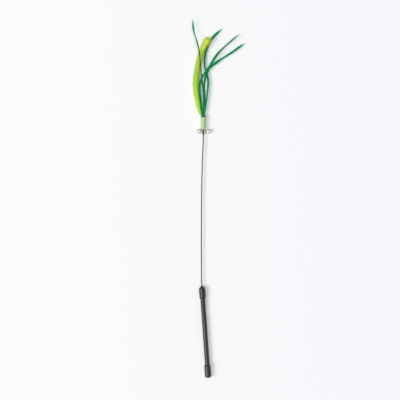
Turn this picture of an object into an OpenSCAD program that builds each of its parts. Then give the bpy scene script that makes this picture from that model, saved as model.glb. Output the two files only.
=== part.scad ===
// Cat teaser wand: a tubular handle with two moulded end caps, a springy steel wire,
// a pair of jingle bells on a ring, and a bunch of grass blades with a foxtail plume.
// Millimetres. The origin is the centre of the butt end, +Y runs along the handle
// towards the teaser, +X is the side that the blades spread to, and +Z is up as it lies.

/* [Handle] */
// Length of the whole handle, from the butt end to the nose
handle_l = 137.6; // [110:0.1:180]
// Outer diameter of the barrel tube
barrel_d = 7.0; // [6:0.1:8.4]
// Wall of the barrel tube
barrel_wall = 1.0; // [0.6:0.1:1.4]
// Outer diameter of both end caps
cap_d = 9.4; // [9.2:0.1:14]
// Length of the cap on the butt end
butt_cap_l = 20.0; // [14:0.1:30]
// Length of the cap on the nose
nose_cap_l = 19.2; // [14:0.1:30]
// Width of the flat on the butt end
butt_flat_d = 3.2; // [2:0.1:6]
// Diameter of the nose where the wire comes out
nose_d = 2.8; // [2.2:0.1:5]
// Depth that the barrel goes into each cap
barrel_grip = 14.0; // [8:0.1:16]
// Length of the plug that holds the wire inside the barrel
anchor_l = 26.0; // [15:0.1:40]

/* [Wire] */
// Diameter of the spring steel wire
wire_d = 1.4; // [1:0.1:1.5]
// Length of wire held in the anchor plug
wire_tail_l = 24.0; // [12:0.1:30]
// Outer diameter of the crimped stop collar
collar_d = 3.0; // [2.4:0.1:3.2]
// Length of the stop collar
collar_l = 1.7; // [1:0.1:2]

/* [Sleeve] */
// Outer diameter of the sleeve at its foot
sleeve_foot_d = 6.9; // [6.6:0.1:7.1]
// Outer diameter of the sleeve at its mouth
sleeve_mouth_d = 8.6; // [8.4:0.1:10]
// Length of the sleeve on its longer side
sleeve_l = 21.6; // [19:0.1:26]
// Length of the sleeve on its shorter side, at the front
sleeve_front_l = 17.6; // [16:0.1:19]
// Wall of the sleeve
sleeve_wall = 0.45; // [0.3:0.01:0.5]

/* [Bells] */
// Diameter of a bell at its rolled seam
bell_d = 7.6; // [7.4:0.1:7.7]
// Thickness of the bell's sheet metal
bell_wall = 0.35; // [0.25:0.01:0.45]
// Diameter of the loose pellet in a bell
pellet_d = 2.2; // [2:0.1:2.6]
// Width of the cross slots in a bell
slot_w = 0.7; // [0.5:0.1:0.9]
// Mean diameter of the ring that carries both bells
ring_d = 5.2; // [5.1:0.1:5.3]
// Thickness of the ring's wire
ring_wire_d = 0.75; // [0.6:0.05:0.8]
// Slant of the ring from lying along the wire, in degrees
ring_slant = 30; // [28:1:32]
// Angle by which a lying bell drops below the plane of the ring, in degrees
bell_drop = 14; // [12:1:16]

/* [Blades and plume] */
// Thickness of the blades' sheet plastic
blade_t = 0.35; // [0.25:0.01:0.5]
// Full width of the tallest blade, on the left
tall_blade_w = 3.1; // [2.4:0.1:3.3]
// Full width of the other three blades
blade_w = 4.0; // [3:0.1:4.2]
// Size of the plume's close pile, as a share of its radii along the route
pile_fullness = 1.0; // [0.85:0.01:1.05]
// Diameter of the plume's twisted wire core
core_d = 1.0; // [0.8:0.1:1]

/* [Hidden] */
$fn = 72;

// Glued and pressed parts keep this much air between their walls
snug = 0.02;
// The wire's bores are larger than the wire by this much all round
wire_play = 0.04;
// What the cutting shapes reach past the material they cut
over = 1;

cap_r = cap_d / 2;
barrel_r = barrel_d / 2;
barrel_start = butt_cap_l - barrel_grip;
barrel_end = handle_l - nose_cap_l + barrel_grip;
anchor_start = barrel_end - anchor_l;
// Round edge at the butt end, and the short tapers that meet the barrel and the wire
butt_round = cap_r - butt_flat_d / 2;
cap_taper_l = 2.4;
cap_lip = 0.35;
nose_taper_l = 4.0;
// The nose's taper starts with a rounded shoulder and ends with a small chamfer
shoulder_in = 0.5;
shoulder_l = 0.8;
nose_edge = 0.3;
collar_edge = 0.3;
wire_bore_r = wire_d / 2 + wire_play;

// The wire leaves the nose with a small knee and then bows gently:
// each stretch is [length, turn to the right in degrees]
wire_bends = [[8, 3.2], [75, 1.0], [55, 0.4], [75, 2.2], [16, -3.0]];
// Straight end of the wire: below the sleeve's foot, and inside the sleeve
wire_below = 5.6;
wire_inside = 12;
// Sides of the wire's section, and the longest step between two sections of a bow
wire_sides = 16;
wire_step = 6;

// Heading of the wire before stretch i, in degrees to the right of +Y
function heading(i) = i == 0 ? 0 : heading(i - 1) + wire_bends[i - 1][1];
function bend_r(i) = wire_bends[i][0] / (wire_bends[i][1] * PI / 180);
function bend_heading(i, t) = heading(i) + t * wire_bends[i][1];
// Where stretch i starts, and the point at a share t of it
function bend_start(i) = i == 0 ? [0, handle_l, 0] : on_bend(i - 1, 1);
function on_bend(i, t) = let (from = heading(i), to = bend_heading(i, t))
  bend_start(i) + bend_r(i) * [cos(from) - cos(to), sin(to) - sin(from), 0];
bend_count = len(wire_bends);
head_heading = heading(bend_count);

// Places along the head's own axis, from the sleeve's foot
collar_y = -8.3;
ring_y = -3.7;
// The ring hangs this far to the right of the wire
ring_x = 0.7;
plug_l = 4.0;
plug_y = 0.4;
binding_y = 8.0;
binding_l = 6.0;
binding_r = 3.25;
binding_bore_r = 3.0;
foot_round = 0.5;

// Bell parts
bell_r = bell_d / 2;
seam_out = 0.15;
shell_r = bell_r - seam_out;
cavity_r = shell_r - bell_wall;
seam_h = 0.3;
// Height, under a bell's middle, that the slots are cut up to
slot_top = 1.2;
loop_wire_d = 0.5;
loop_r = 0.9;
leg_l = 1.3;
slot_reach = 2.5;
slot_end_d = 1.4;
// From a bell's centre to the ring's wire
bell_reach = shell_r + loop_r - loop_wire_d / 2;
// The pellet lies just above the bottom of the bell
pellet_gap = 0.05;
pellet_rest = cavity_r - pellet_d / 2 - pellet_gap;

// Blades: [x, y, z, twist], from the sleeve's foot along the head's axis. A blade that
// isn't twisted lies flat, and a positive twist lifts its right edge.
tall_route = [
  [0, 8, -1.6, 0], [0.1, 20, -1.8, -20], [0.4, 38, -1.9, -30], [0, 55, -1.7, -42],
  [-1.3, 67, -1.2, -58], [-2.4, 77, -0.2, -62], [-3.5, 86, 2.8, -68],
  [-4.6, 96, 5.6, -66], [-5, 104, 6.6, -60], [-5.6, 112, 6.4, -50],
  [-7.3, 121, 5.4, -50], [-9.2, 130, 4.6, -45], [-12, 139, 3.8, -60],
  [-14.4, 148, 3.2, -40], [-15.1, 156, 2.6, -12], [-15.2, 165, 2, 0]
];
upper_route = [
  [1.6, 8, 0, 80], [1.9, 18, 0, 66], [3.2, 30, -0.3, 50], [4.9, 43, -0.5, 48],
  [6.2, 55, -0.7, 51], [7.3, 66, -0.9, 40], [7.3, 75, -1.3, 42], [5.4, 83.5, -1.9, 48],
  [2.8, 91.5, -2.1, 52], [2.2, 101, -2.2, 46], [3.2, 111, -2.3, 40],
  [5.3, 119.5, -2.6, 36], [8, 126, -2.9, 44], [10.8, 132.3, -3, 42],
  [15.5, 138.2, -2.7, 10], [20.2, 143.2, -2.3, 0], [24.4, 147, -2, 0],
  [28.3, 150.1, -1.6, 0]
];
middle_route = [
  [-1.6, 8, 0.3, -80], [-1.4, 18, 0.8, -65], [-2.5, 30, 1.4, -32],
  [-4.1, 43.5, 1.9, -38], [-5.6, 55, 2.2, -34], [-5.2, 67, 2.6, -34],
  [-2.4, 76.5, 4, -40], [1.7, 82.5, 4.6, -42], [8, 91.4, 4.6, -42],
  [13.8, 100.6, 4.2, -22], [20.6, 111, 3.9, -30], [28.9, 120.1, 4.1, -58],
  [39.5, 129.4, 4.2, -60], [48.2, 136.8, 3.8, -44], [55.1, 141.6, 3.2, -44]
];
right_route = [
  [0, 8, 1.6, 0], [0.6, 20, 1.7, -20], [1.4, 36, 1.8, -32], [1.5, 52, 1.8, -32],
  [1.2, 66, 1.7, -38], [3.3, 77.5, 1.5, -30], [6.2, 86, 1.1, -28],
  [10.3, 92.6, 1, -18], [18, 98.5, 1.1, -16], [27.6, 105.2, 1.2, -52],
  [38.4, 111.9, 1.1, -46], [47.8, 118.1, 0.9, -42], [56.7, 124.7, 0.7, -30],
  [61, 127.8, 0.6, -24]
];
// The plume's core: [x, y, z, radius of the pile round it]. No pile grows on the
// stretch inside the sleeve.
plume_route = [
  [-1.75, 8, -1.65, 1.2], [-1.95, 14, -1.45, 1.4], [-2.85, 20.3, -1.4, 1.7],
  [-4.7, 25, -1.25, 2.1], [-6.6, 31, -1.1, 2.8], [-8.1, 41, -0.8, 3.5],
  [-10.1, 54, -0.5, 4], [-11.1, 66, -0.3, 4.1], [-10.5, 78, -0.2, 4],
  [-8.7, 89, -0.1, 4], [-6.6, 99, 0.1, 4.1], [-4.3, 109, 0.6, 3.9],
  [-1.8, 117, 1.4, 3.7], [2.2, 125.5, 2.4, 4.7], [6.3, 132, 3, 6.1],
  [8.4, 137.4, 3.2, 5.1]
];
blade_rings = 40;
plume_rings = 44;
plume_sides = 14;
// Share of the route where the pile starts, and the round end's share
pile_from = 0.15;
pile_end = 0.036;
// The round end closes on a small cap, this share of the pile's radius
pile_cap = 0.14;
// Shares of the route where the core ends, and where its channel in the pile ends
core_to = 0.985;
channel_to = 0.987;
// Share of the sections that are spread evenly, before they close up at the round end
even_share = 0.8;
// A blade's root is this share of its full width, and swells to it by root_share
root_w = 0.54;
root_share = 0.25;
tip_share = 0.14;
tip_w = 0.12;
// The taper to the tip bulges a little, and the skin thins to this share there
tip_curve = 0.8;
tip_thin = 0.5;
// Depth of a blade's channel against its width, at the root and at the tip
root_fold = 0.24;
tip_fold = 0.08;

function unit(v) = v / norm(v);
function place(p) = [p[0], p[1], p[2]];
function clamp01(t) = min(1, max(0, t));
function ease(t) = let (c = clamp01(t)) c * c * (3 - 2 * c);

// Smooth curve through the route's points, at a share t of its way
function bend(a, b, c, d, t) = 0.5 * (
  2 * b + (c - a) * t + (2 * a - 5 * b + 4 * c - d) * t * t
  + (3 * b - a - 3 * c + d) * t * t * t
);
function on_route(pts, t) = let (
  last = len(pts) - 1,
  i = min(last - 1, floor(t * last)),
  before = i == 0 ? 2 * pts[0] - pts[1] : pts[i - 1],
  after = i == last - 1 ? 2 * pts[last] - pts[last - 1] : pts[i + 2]
) bend(before, pts[i], pts[i + 1], after, t * last - i);

// Direction along a route, and the level line across it
function ahead(pts, t, d = 0.002) = unit(
  place(on_route(pts, min(1, t + d))) - place(on_route(pts, max(0, t - d)))
);
function across(along) = unit(cross(along, [0, 0, 1]));

// Full width of a blade at a share t of its length, as a share of its widest
function leaf_width(t) =
  (root_w + (1 - root_w) * ease(t / root_share))
  * max(tip_w, pow(clamp01((1 - t) / tip_share), tip_curve));

// One section of a blade: a shallow channel, turned by the blade's twist
function leaf_section(pts, width, t) = let (
  at = on_route(pts, t),
  along = ahead(pts, t),
  level = across(along),
  up = cross(level, along),
  right = cos(at[3]) * level + sin(at[3]) * up,
  out = cross(right, along),
  half = width * leaf_width(t) / 2,
  dip = half * (root_fold + (tip_fold - root_fold) * t),
  skin = blade_t / 2 * max(tip_thin, leaf_width(t))
) [
  for (p = [[-1, dip + skin], [0, skin - dip], [1, dip + skin],
            [1, dip - skin], [0, -skin - dip], [-1, dip - skin]])
    place(at) + p[0] * half * right + p[1] * out
];

function round_section(pts, r, t) = let (
  along = ahead(pts, t),
  level = across(along),
  up = cross(level, along)
) [
  for (k = [0 : plume_sides - 1]) let (a = 360 * k / plume_sides)
    place(on_route(pts, t)) + r * (cos(a) * level + sin(a) * up)
];

// Radius of the close pile: it follows the route and ends round
function pile_r(t) = let (end = clamp01((1 - t) / pile_end))
  on_route(plume_route, t)[3] * pile_fullness
  * max(pile_cap, sqrt(1 - (1 - end) * (1 - end)));

// Spreads the pile's sections, closer together towards the round end
function pile_share(u) = let (
  slow = 1 - even_share,
  even = 2 / (1 + even_share),
  way = u < even_share ? u * even : 1 - (1 - u) * (1 - u) * even / (2 * slow)
) pile_from + (1 - pile_from) * way;

// Centre of a bell, from the sleeve's foot
function bell_centre(side) = let (
  reach = ring_d / 2 + bell_reach * cos(bell_drop),
  drop = bell_reach * sin(bell_drop)
) [ring_x + side * reach, ring_y + drop * sin(ring_slant), -drop * cos(ring_slant)];

// A closed skin over a row of sections that have the same number of points
module skin(rings) {
  n = len(rings[0]);
  m = len(rings);
  points = [for (ring = rings) for (p = ring) p];
  walls = [
    for (i = [0 : m - 2]) for (k = [0 : n - 1]) let (
      a = i * n + k, b = i * n + (k + 1) % n, c = a + n, d = b + n
    ) each [[a, b, d], [a, d, c]]
  ];
  first = [for (k = [n - 1 : -1 : 0]) k];
  last = [for (k = [0 : n - 1]) (m - 1) * n + k];
  polyhedron(points = points, faces = concat([first], walls, [last]), convexity = 8);
}

module along_y() {
  rotate([-90, 0, 0]) children();
}

// The end of the wire, with +Y up the sleeve's axis from its foot
module head_frame() {
  translate(bend_start(bend_count)) rotate(-head_heading) translate([0, wire_below, 0])
    children();
}

// The ring's own plane, with its centre at the origin
module ring_frame() {
  head_frame() translate([ring_x, ring_y, 0]) rotate([ring_slant, 0, 0]) children();
}

// A bell's centre, with +Z towards the ring. side is -1 on the left and 1 on the right.
module bell_frame(side) {
  ring_frame() translate([side * ring_d / 2, 0, 0])
    rotate([0, -side * (90 - bell_drop), 0]) translate([0, 0, -bell_reach]) children();
}

module blade(route, width) {
  color("#0d7a50") head_frame() skin([
    for (i = [0 : blade_rings]) leaf_section(route, width, i / blade_rings)
  ]);
}

module core_solid(r, to) {
  head_frame() skin([
    for (i = [0 : plume_rings]) round_section(plume_route, r, to * i / plume_rings)
  ]);
}

module handle_barrel() {
  color("#3f3e41") translate([0, barrel_start, 0]) along_y() difference() {
    cylinder(r = barrel_r, h = barrel_end - barrel_start);
    translate([0, 0, -over])
      cylinder(r = barrel_r - barrel_wall, h = barrel_end - barrel_start + 2 * over);
  }
}

// Outline of the butt cap, turned round the handle's axis
module butt_cap() {
  color("#36363a") along_y() difference() {
    rotate_extrude() {
      square([butt_flat_d / 2, butt_cap_l - cap_taper_l]);
      translate([0, butt_round]) square([cap_r, butt_cap_l - cap_taper_l - butt_round]);
      translate([butt_flat_d / 2, butt_round]) intersection() {
        circle(r = butt_round);
        translate([0, -butt_round]) square(butt_round);
      }
      polygon([
        [0, butt_cap_l - cap_taper_l], [cap_r, butt_cap_l - cap_taper_l],
        [barrel_r + cap_lip, butt_cap_l], [0, butt_cap_l]
      ]);
    }
    translate([0, 0, barrel_start]) cylinder(r = barrel_r + snug, h = butt_cap_l);
  }
}

module nose_cap() {
  start = handle_l - nose_cap_l;
  color("#36363a") along_y() difference() {
    rotate_extrude() polygon([
      [0, start], [barrel_r + cap_lip, start], [cap_r, start + cap_taper_l],
      [cap_r, handle_l - nose_taper_l],
      [cap_r - shoulder_in, handle_l - nose_taper_l + shoulder_l],
      [nose_d / 2 + nose_edge, handle_l - nose_edge], [nose_d / 2, handle_l], [0, handle_l]
    ]);
    translate([0, 0, start - over]) cylinder(r = barrel_r + snug, h = barrel_grip + over);
    cylinder(r = wire_bore_r, h = handle_l + over);
  }
}

module wire_anchor() {
  color("#6b6b6e") translate([0, anchor_start, 0]) along_y() difference() {
    cylinder(r = barrel_r - barrel_wall - snug, h = anchor_l);
    translate([0, 0, anchor_l - wire_tail_l]) cylinder(r = wire_bore_r, h = wire_tail_l + over);
  }
}

// Round section of the wire at a point on its line, where its heading is h
function wire_section(at, h) = [
  for (k = [0 : wire_sides - 1]) let (a = 360 * k / wire_sides)
    at + wire_d / 2 * [cos(a) * cos(h), -cos(a) * sin(h), sin(a)]
];

// A straight tail, the bowed stretches and a straight head, as one length of wire
module wand_wire() {
  tail_start = [0, barrel_end - wire_tail_l + over, 0];
  head_end = bend_start(bend_count)
    + (wire_below + wire_inside) * [sin(head_heading), cos(head_heading), 0];
  color("#77787b") skin(concat(
    [wire_section(tail_start, 0)],
    [for (i = [0 : bend_count - 1]) let (steps = ceil(wire_bends[i][0] / wire_step))
      for (k = [0 : steps - 1]) wire_section(on_bend(i, k / steps), bend_heading(i, k / steps))],
    [wire_section(bend_start(bend_count), head_heading), wire_section(head_end, head_heading)]
  ));
}

module stop_collar() {
  r = collar_d / 2;
  color("#2b2a2c") head_frame() translate([0, collar_y, 0]) along_y() difference() {
    rotate_extrude() polygon([
      [0, 0], [r - collar_edge, 0], [r, collar_edge], [r, collar_l - collar_edge],
      [r - collar_edge, collar_l], [0, collar_l]
    ]);
    translate([0, 0, -over]) cylinder(r = wire_bore_r, h = collar_l + 2 * over);
  }
}

// Straight taper with a rounded foot, cut slantwise at the mouth
module sleeve() {
  foot_r = sleeve_foot_d / 2;
  mouth_r = sleeve_mouth_d / 2;
  color("#b4dda4", 0.8) head_frame() difference() {
    along_y() rotate_extrude() difference() {
      union() {
        polygon([
          [0, foot_round], [foot_r, foot_round], [mouth_r, sleeve_l], [0, sleeve_l]
        ]);
        square([foot_r - foot_round, foot_round]);
        translate([foot_r - foot_round, foot_round]) circle(r = foot_round);
      }
      polygon([
        [-over, -over], [foot_r - sleeve_wall, -over], [foot_r - sleeve_wall, foot_round],
        [mouth_r - sleeve_wall, sleeve_l], [mouth_r - sleeve_wall, sleeve_l + over],
        [-over, sleeve_l + over]
      ]);
    }
    translate([0, (sleeve_l + sleeve_front_l) / 2, 0])
      rotate([-atan2(sleeve_mouth_d, sleeve_l - sleeve_front_l) + 90, 0, 0])
        translate([-sleeve_l, 0, -sleeve_l]) cube([2 * sleeve_l, sleeve_l, 2 * sleeve_l]);
  }
}

// Closes the sleeve's foot round the wire
module sleeve_plug() {
  plug_r = sleeve_foot_d / 2 - sleeve_wall - snug;
  color("#9fc98e") head_frame() translate([0, plug_y, 0]) along_y() difference() {
    cylinder(r = plug_r, h = plug_l);
    translate([0, 0, -over]) cylinder(r = wire_bore_r, h = plug_l + 2 * over);
  }
}

// Thread wound round the roots of the blades and the plume's stem
module root_binding() {
  color("#8fb97a") head_frame() translate([0, binding_y, 0]) along_y() difference() {
    cylinder(r = binding_r, h = binding_l);
    translate([0, 0, -over]) cylinder(r = binding_bore_r, h = binding_l + 2 * over);
  }
}

module tall_blade() {
  blade(tall_route, tall_blade_w);
}

module upper_blade() {
  blade(upper_route, blade_w);
}

module middle_blade() {
  blade(middle_route, blade_w);
}

module right_blade() {
  blade(right_route, blade_w);
}

module plume_core() {
  color("#8a9a4a") core_solid(core_d / 2, core_to);
}

// The close pile of the plume, with a channel for its core
module plume_pile() {
  color("#a9d93f") difference() {
    head_frame() skin([
      for (i = [0 : plume_rings]) let (t = pile_share(i / plume_rings))
        round_section(plume_route, pile_r(t), t)
    ]);
    core_solid(core_d / 2 + snug, channel_to);
  }
}

module bell_ring() {
  color("#a08a4e") ring_frame() rotate_extrude()
    translate([ring_d / 2, 0]) circle(d = ring_wire_d, $fn = 24);
}

// Half of the bell's shell with its half of the rolled seam, standing on its rim
module half_bell() {
  difference() {
    union() {
      intersection() {
        sphere(r = shell_r);
        translate([0, 0, bell_d / 2]) cube(bell_d, center = true);
      }
      cylinder(r = bell_r, h = seam_h);
    }
    sphere(r = cavity_r);
  }
}

// The upper half has two holes for the loop's legs
module bell_dome(side) {
  color("#c9cacc") bell_frame(side) difference() {
    half_bell();
    for (s = [-1, 1])
      translate([s * loop_r, 0, cavity_r - over]) cylinder(d = loop_wire_d + 2 * snug, h = 3 * over);
  }
}

// The lower half has two crossed slots with round ends
module bell_cup(side) {
  color("#c4c5c7") bell_frame(side) difference() {
    mirror([0, 0, 1]) half_bell();
    for (turn = [45, 135]) rotate(turn) {
      translate([-slot_reach, -slot_w / 2, -bell_d])
        cube([2 * slot_reach, slot_w, bell_d - slot_top]);
      for (s = [-1, 1])
        translate([s * slot_reach, 0, -bell_d]) cylinder(d = slot_end_d, h = bell_d - slot_top);
    }
  }
}

// A wire staple: half a ring on two straight legs
module bell_loop(side) {
  color("#c0c1c3") bell_frame(side) translate([0, 0, bell_reach]) union() {
    rotate([90, 0, 0]) rotate_extrude(angle = 180)
      translate([loop_r, 0]) circle(d = loop_wire_d, $fn = 24);
    for (s = [-1, 1])
      translate([s * loop_r, 0, -leg_l]) cylinder(d = loop_wire_d, h = leg_l, $fn = 24);
  }
}

// Lies at the bottom of the bell, straight below its centre
module bell_pellet(side) {
  color("#8d8e90") head_frame() translate(bell_centre(side) + [0, 0, -pellet_rest])
    sphere(d = pellet_d);
}

module left_bell_dome() { bell_dome(-1); }
module left_bell_cup() { bell_cup(-1); }
module left_bell_loop() { bell_loop(-1); }
module left_bell_pellet() { bell_pellet(-1); }
module right_bell_dome() { bell_dome(1); }
module right_bell_cup() { bell_cup(1); }
module right_bell_loop() { bell_loop(1); }
module right_bell_pellet() { bell_pellet(1); }

handle_barrel();
butt_cap();
nose_cap();
wire_anchor();
wand_wire();
stop_collar();
sleeve();
sleeve_plug();
root_binding();
tall_blade();
upper_blade();
middle_blade();
right_blade();
plume_core();
plume_pile();
bell_ring();
left_bell_dome();
left_bell_cup();
left_bell_loop();
left_bell_pellet();
right_bell_dome();
right_bell_cup();
right_bell_loop();
right_bell_pellet();
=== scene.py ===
"""Cat teaser wand: a tubular handle, a springy wire, two jingle bells on a ring, and a bunch of
grass blades with a foxtail plume, dressed over its solid frame.

Sizes are in millimetres and are turned to metres where a mesh is made. The origin is the middle
of the butt end, +Y runs along the handle to the teaser, and +Z is up from the floor.
"""

import logging
import math
from dataclasses import dataclass
from enum import Enum
from typing import Any, Optional, Sequence, Union

import bmesh
import bpy
import numpy as np
from mathutils import Matrix, Vector, geometry

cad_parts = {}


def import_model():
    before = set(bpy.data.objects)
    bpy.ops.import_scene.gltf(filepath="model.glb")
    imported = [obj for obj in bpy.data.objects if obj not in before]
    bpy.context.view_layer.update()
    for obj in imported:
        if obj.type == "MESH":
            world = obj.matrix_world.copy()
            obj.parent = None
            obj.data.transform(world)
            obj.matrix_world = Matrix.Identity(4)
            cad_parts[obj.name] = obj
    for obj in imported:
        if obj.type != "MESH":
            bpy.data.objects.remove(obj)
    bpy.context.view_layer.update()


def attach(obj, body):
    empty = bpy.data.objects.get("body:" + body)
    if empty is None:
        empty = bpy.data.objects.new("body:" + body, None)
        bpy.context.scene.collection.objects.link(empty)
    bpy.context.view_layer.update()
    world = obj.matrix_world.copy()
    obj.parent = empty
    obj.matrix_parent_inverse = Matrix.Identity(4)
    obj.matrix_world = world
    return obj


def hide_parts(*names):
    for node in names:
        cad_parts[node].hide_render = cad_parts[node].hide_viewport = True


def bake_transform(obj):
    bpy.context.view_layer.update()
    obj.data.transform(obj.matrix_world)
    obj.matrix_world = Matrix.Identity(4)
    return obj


log = logging.getLogger("teaser_wand")

MM = 0.001
# A texture scale of PER_MM / s draws features s mm across on Object coordinates
PER_MM = 1000.0
# A wave texture of scale WAVE / s repeats every s units of its coordinates
WAVE = math.pi / 10
FLOOR_Z = -4.7

Colour = tuple[float, float, float, float]
Points = np.ndarray
Tree = Union[bpy.types.NodeTree, bpy.types.GeometryNodeTree]


class Side(Enum):
    """The two bells of the ring."""

    LEFT = -1
    RIGHT = 1


def linear(code: str) -> Colour:
    """Turns an sRGB hex code to the linear colour that a shader takes.

    Args:
        code: six hex digits with a leading hash.

    Returns:
        Red, green, blue and alpha.
    """
    parts = [int(code[i : i + 2], 16) / 255 for i in (1, 3, 5)]
    return tuple(c / 12.92 if c <= 0.04045 else ((c + 0.055) / 1.055) ** 2.4 for c in parts) + (1.0,)


def feed(tree: Tree, node: bpy.types.Node, inputs: dict[Any, Any]) -> None:
    """Gives a node's sockets their values and links.

    Args:
        tree: the node's tree.
        node: the node.
        inputs: socket name or number against a value, or against the output that feeds it, where
            a node stands for its first output.
    """
    for key, value in inputs.items():
        if isinstance(value, bpy.types.Node):
            value = value.outputs[0]
        if isinstance(value, bpy.types.NodeSocket):
            tree.links.new(value, node.inputs[key])
        else:
            node.inputs[key].default_value = value


def add_node(tree: Tree, kind: str, inputs: Optional[dict] = None, **settings: Any) -> bpy.types.Node:
    """Adds a node to a tree with its settings, values and links.

    Args:
        tree: shader or geometry node tree.
        kind: the node's type name.
        inputs: as for feed.
        settings: attributes of the node itself.

    Returns:
        The new node.
    """
    node = tree.nodes.new(kind)
    for name, value in settings.items():
        setattr(node, name, value)
    feed(tree, node, inputs or {})
    return node


def ease(t: Points) -> Points:
    """Smooth step from 0 to 1."""
    c = np.clip(t, 0, 1)
    return c * c * (3 - 2 * c)


def unit(v: Points) -> Points:
    """Vectors of length 1 along the last axis."""
    return v / np.linalg.norm(v, axis=-1, keepdims=True)


def placed(points: Points, frame: Optional[Matrix]) -> Points:
    """Points given in a frame, as points of the row frame; both are in millimetres."""
    if frame is None:
        return points
    m = np.array(frame)
    return points @ m[:3, :3].T + m[:3, 3]


def travelled(points: Points) -> Points:
    """Distance along a line of points, at each of them."""
    return np.concatenate([[0], np.cumsum(np.linalg.norm(np.diff(points, axis=0), axis=1))])


def round_angles(count: int) -> Points:
    """Even steps round a circle, in radians."""
    return np.arange(count) * 2 * math.pi / count


# ---- Finishes


@dataclass(frozen=True)
class Finish:
    """What one material starts from: its name and the values of its shader's own sockets."""

    name: str = "plain"
    slot: str = ""

    def start(self, **surface: Any) -> tuple[bpy.types.Material, Tree, bpy.types.Node]:
        """Makes the material with its shader.

        Args:
            surface: shader socket names, with _ for a space, and their values.

        Returns:
            The material, its tree and its shader.
        """
        material = bpy.data.materials.new(self.name)
        material.use_nodes = True
        tree = material.node_tree
        shader = tree.nodes["Principled BSDF"]
        feed(tree, shader, {key.replace("_", " "): value for key, value in surface.items()})
        return material, tree, shader

    def material(self) -> bpy.types.Material:
        """Builds the material's nodes."""
        return self.start()[0]

    def made(self) -> bpy.types.Material:
        """The finish's material, which is built once."""
        return bpy.data.materials.get(self.name) or self.material()

    def dress(self, piece: bpy.types.Object) -> None:
        """Puts the finish on a piece."""
        piece.data.materials.clear()
        piece.data.materials.append(self.made())


@dataclass(frozen=True)
class ExtrudedTube(Finish):
    """Black ABS tube, extruded: glossy, with faint lines along it and duller smears from handling."""

    name: str = "black_abs_extruded"
    slot: str = "barrel_plastic"
    base: str = "#101012"
    line_mm: float = 0.3
    smear_mm: float = 9.0

    def material(self) -> bpy.types.Material:
        """Builds the die lines and the smears left by hands."""
        material, tree, shader = self.start(Base_Color=linear(self.base), IOR=1.53)
        place = add_node(tree, "ShaderNodeTexCoord").outputs["Object"]
        drawn = add_node(tree, "ShaderNodeMapping", {"Vector": place, "Scale": (1, 0.012, 1)})
        lines = add_node(tree, "ShaderNodeTexNoise", {
            "Vector": drawn, "Scale": PER_MM / self.line_mm, "Detail": 2.0})
        smears = add_node(tree, "ShaderNodeTexNoise", {
            "Vector": place, "Scale": PER_MM / self.smear_mm, "Detail": 4.0, "Roughness": 0.6})
        gloss = add_node(tree, "ShaderNodeMapRange", {
            "Value": smears, "From Min": 0.35, "From Max": 0.65,
            "To Min": 0.27, "To Max": 0.36})
        bump = add_node(tree, "ShaderNodeBump", {
            "Strength": 0.35, "Distance": 0.00001, "Height": lines})
        feed(tree, shader, {"Roughness": gloss, "Normal": bump})
        return material


@dataclass(frozen=True)
class MouldedCap(Finish):
    """Black ABS, injection moulded: glossy, a soft ripple in the skin, and the mould's parting
    line down both sides."""

    name: str = "black_abs_moulded"
    slot: str = "cap_plastic"
    base: str = "#0E0E10"
    ripple_mm: float = 1.6
    line_mm: float = 0.12
    worn_mm: float = 5.0

    def material(self) -> bpy.types.Material:
        """Builds the ripple, the parting line and the dulled patches."""
        material, tree, shader = self.start(Base_Color=linear(self.base), IOR=1.53)
        place = add_node(tree, "ShaderNodeTexCoord").outputs["Object"]
        ripple = add_node(tree, "ShaderNodeTexNoise", {
            "Vector": place, "Scale": PER_MM / self.ripple_mm, "Detail": 2.0})
        height = add_node(tree, "ShaderNodeSeparateXYZ", {"Vector": place}).outputs["Z"]
        off = add_node(tree, "ShaderNodeMath", {0: height}, operation="ABSOLUTE")
        ridge = add_node(tree, "ShaderNodeMapRange", {
            "Value": off, "From Min": 0.0, "From Max": self.line_mm * MM, "To Min": 1.0, "To Max": 0.0},
            interpolation_type="SMOOTHSTEP")
        skin = add_node(tree, "ShaderNodeMath", {0: ripple, 1: ridge}, operation="ADD")
        bump = add_node(tree, "ShaderNodeBump", {
            "Strength": 0.4, "Distance": 0.00003, "Height": skin})
        worn = add_node(tree, "ShaderNodeTexNoise", {
            "Vector": place, "Scale": PER_MM / self.worn_mm, "Detail": 5.0, "Roughness": 0.65})
        gloss = add_node(tree, "ShaderNodeMapRange", {
            "Value": worn, "From Min": 0.35, "From Max": 0.7, "To Min": 0.22, "To Max": 0.34})
        feed(tree, shader, {"Roughness": gloss, "Normal": bump})
        return material


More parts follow.
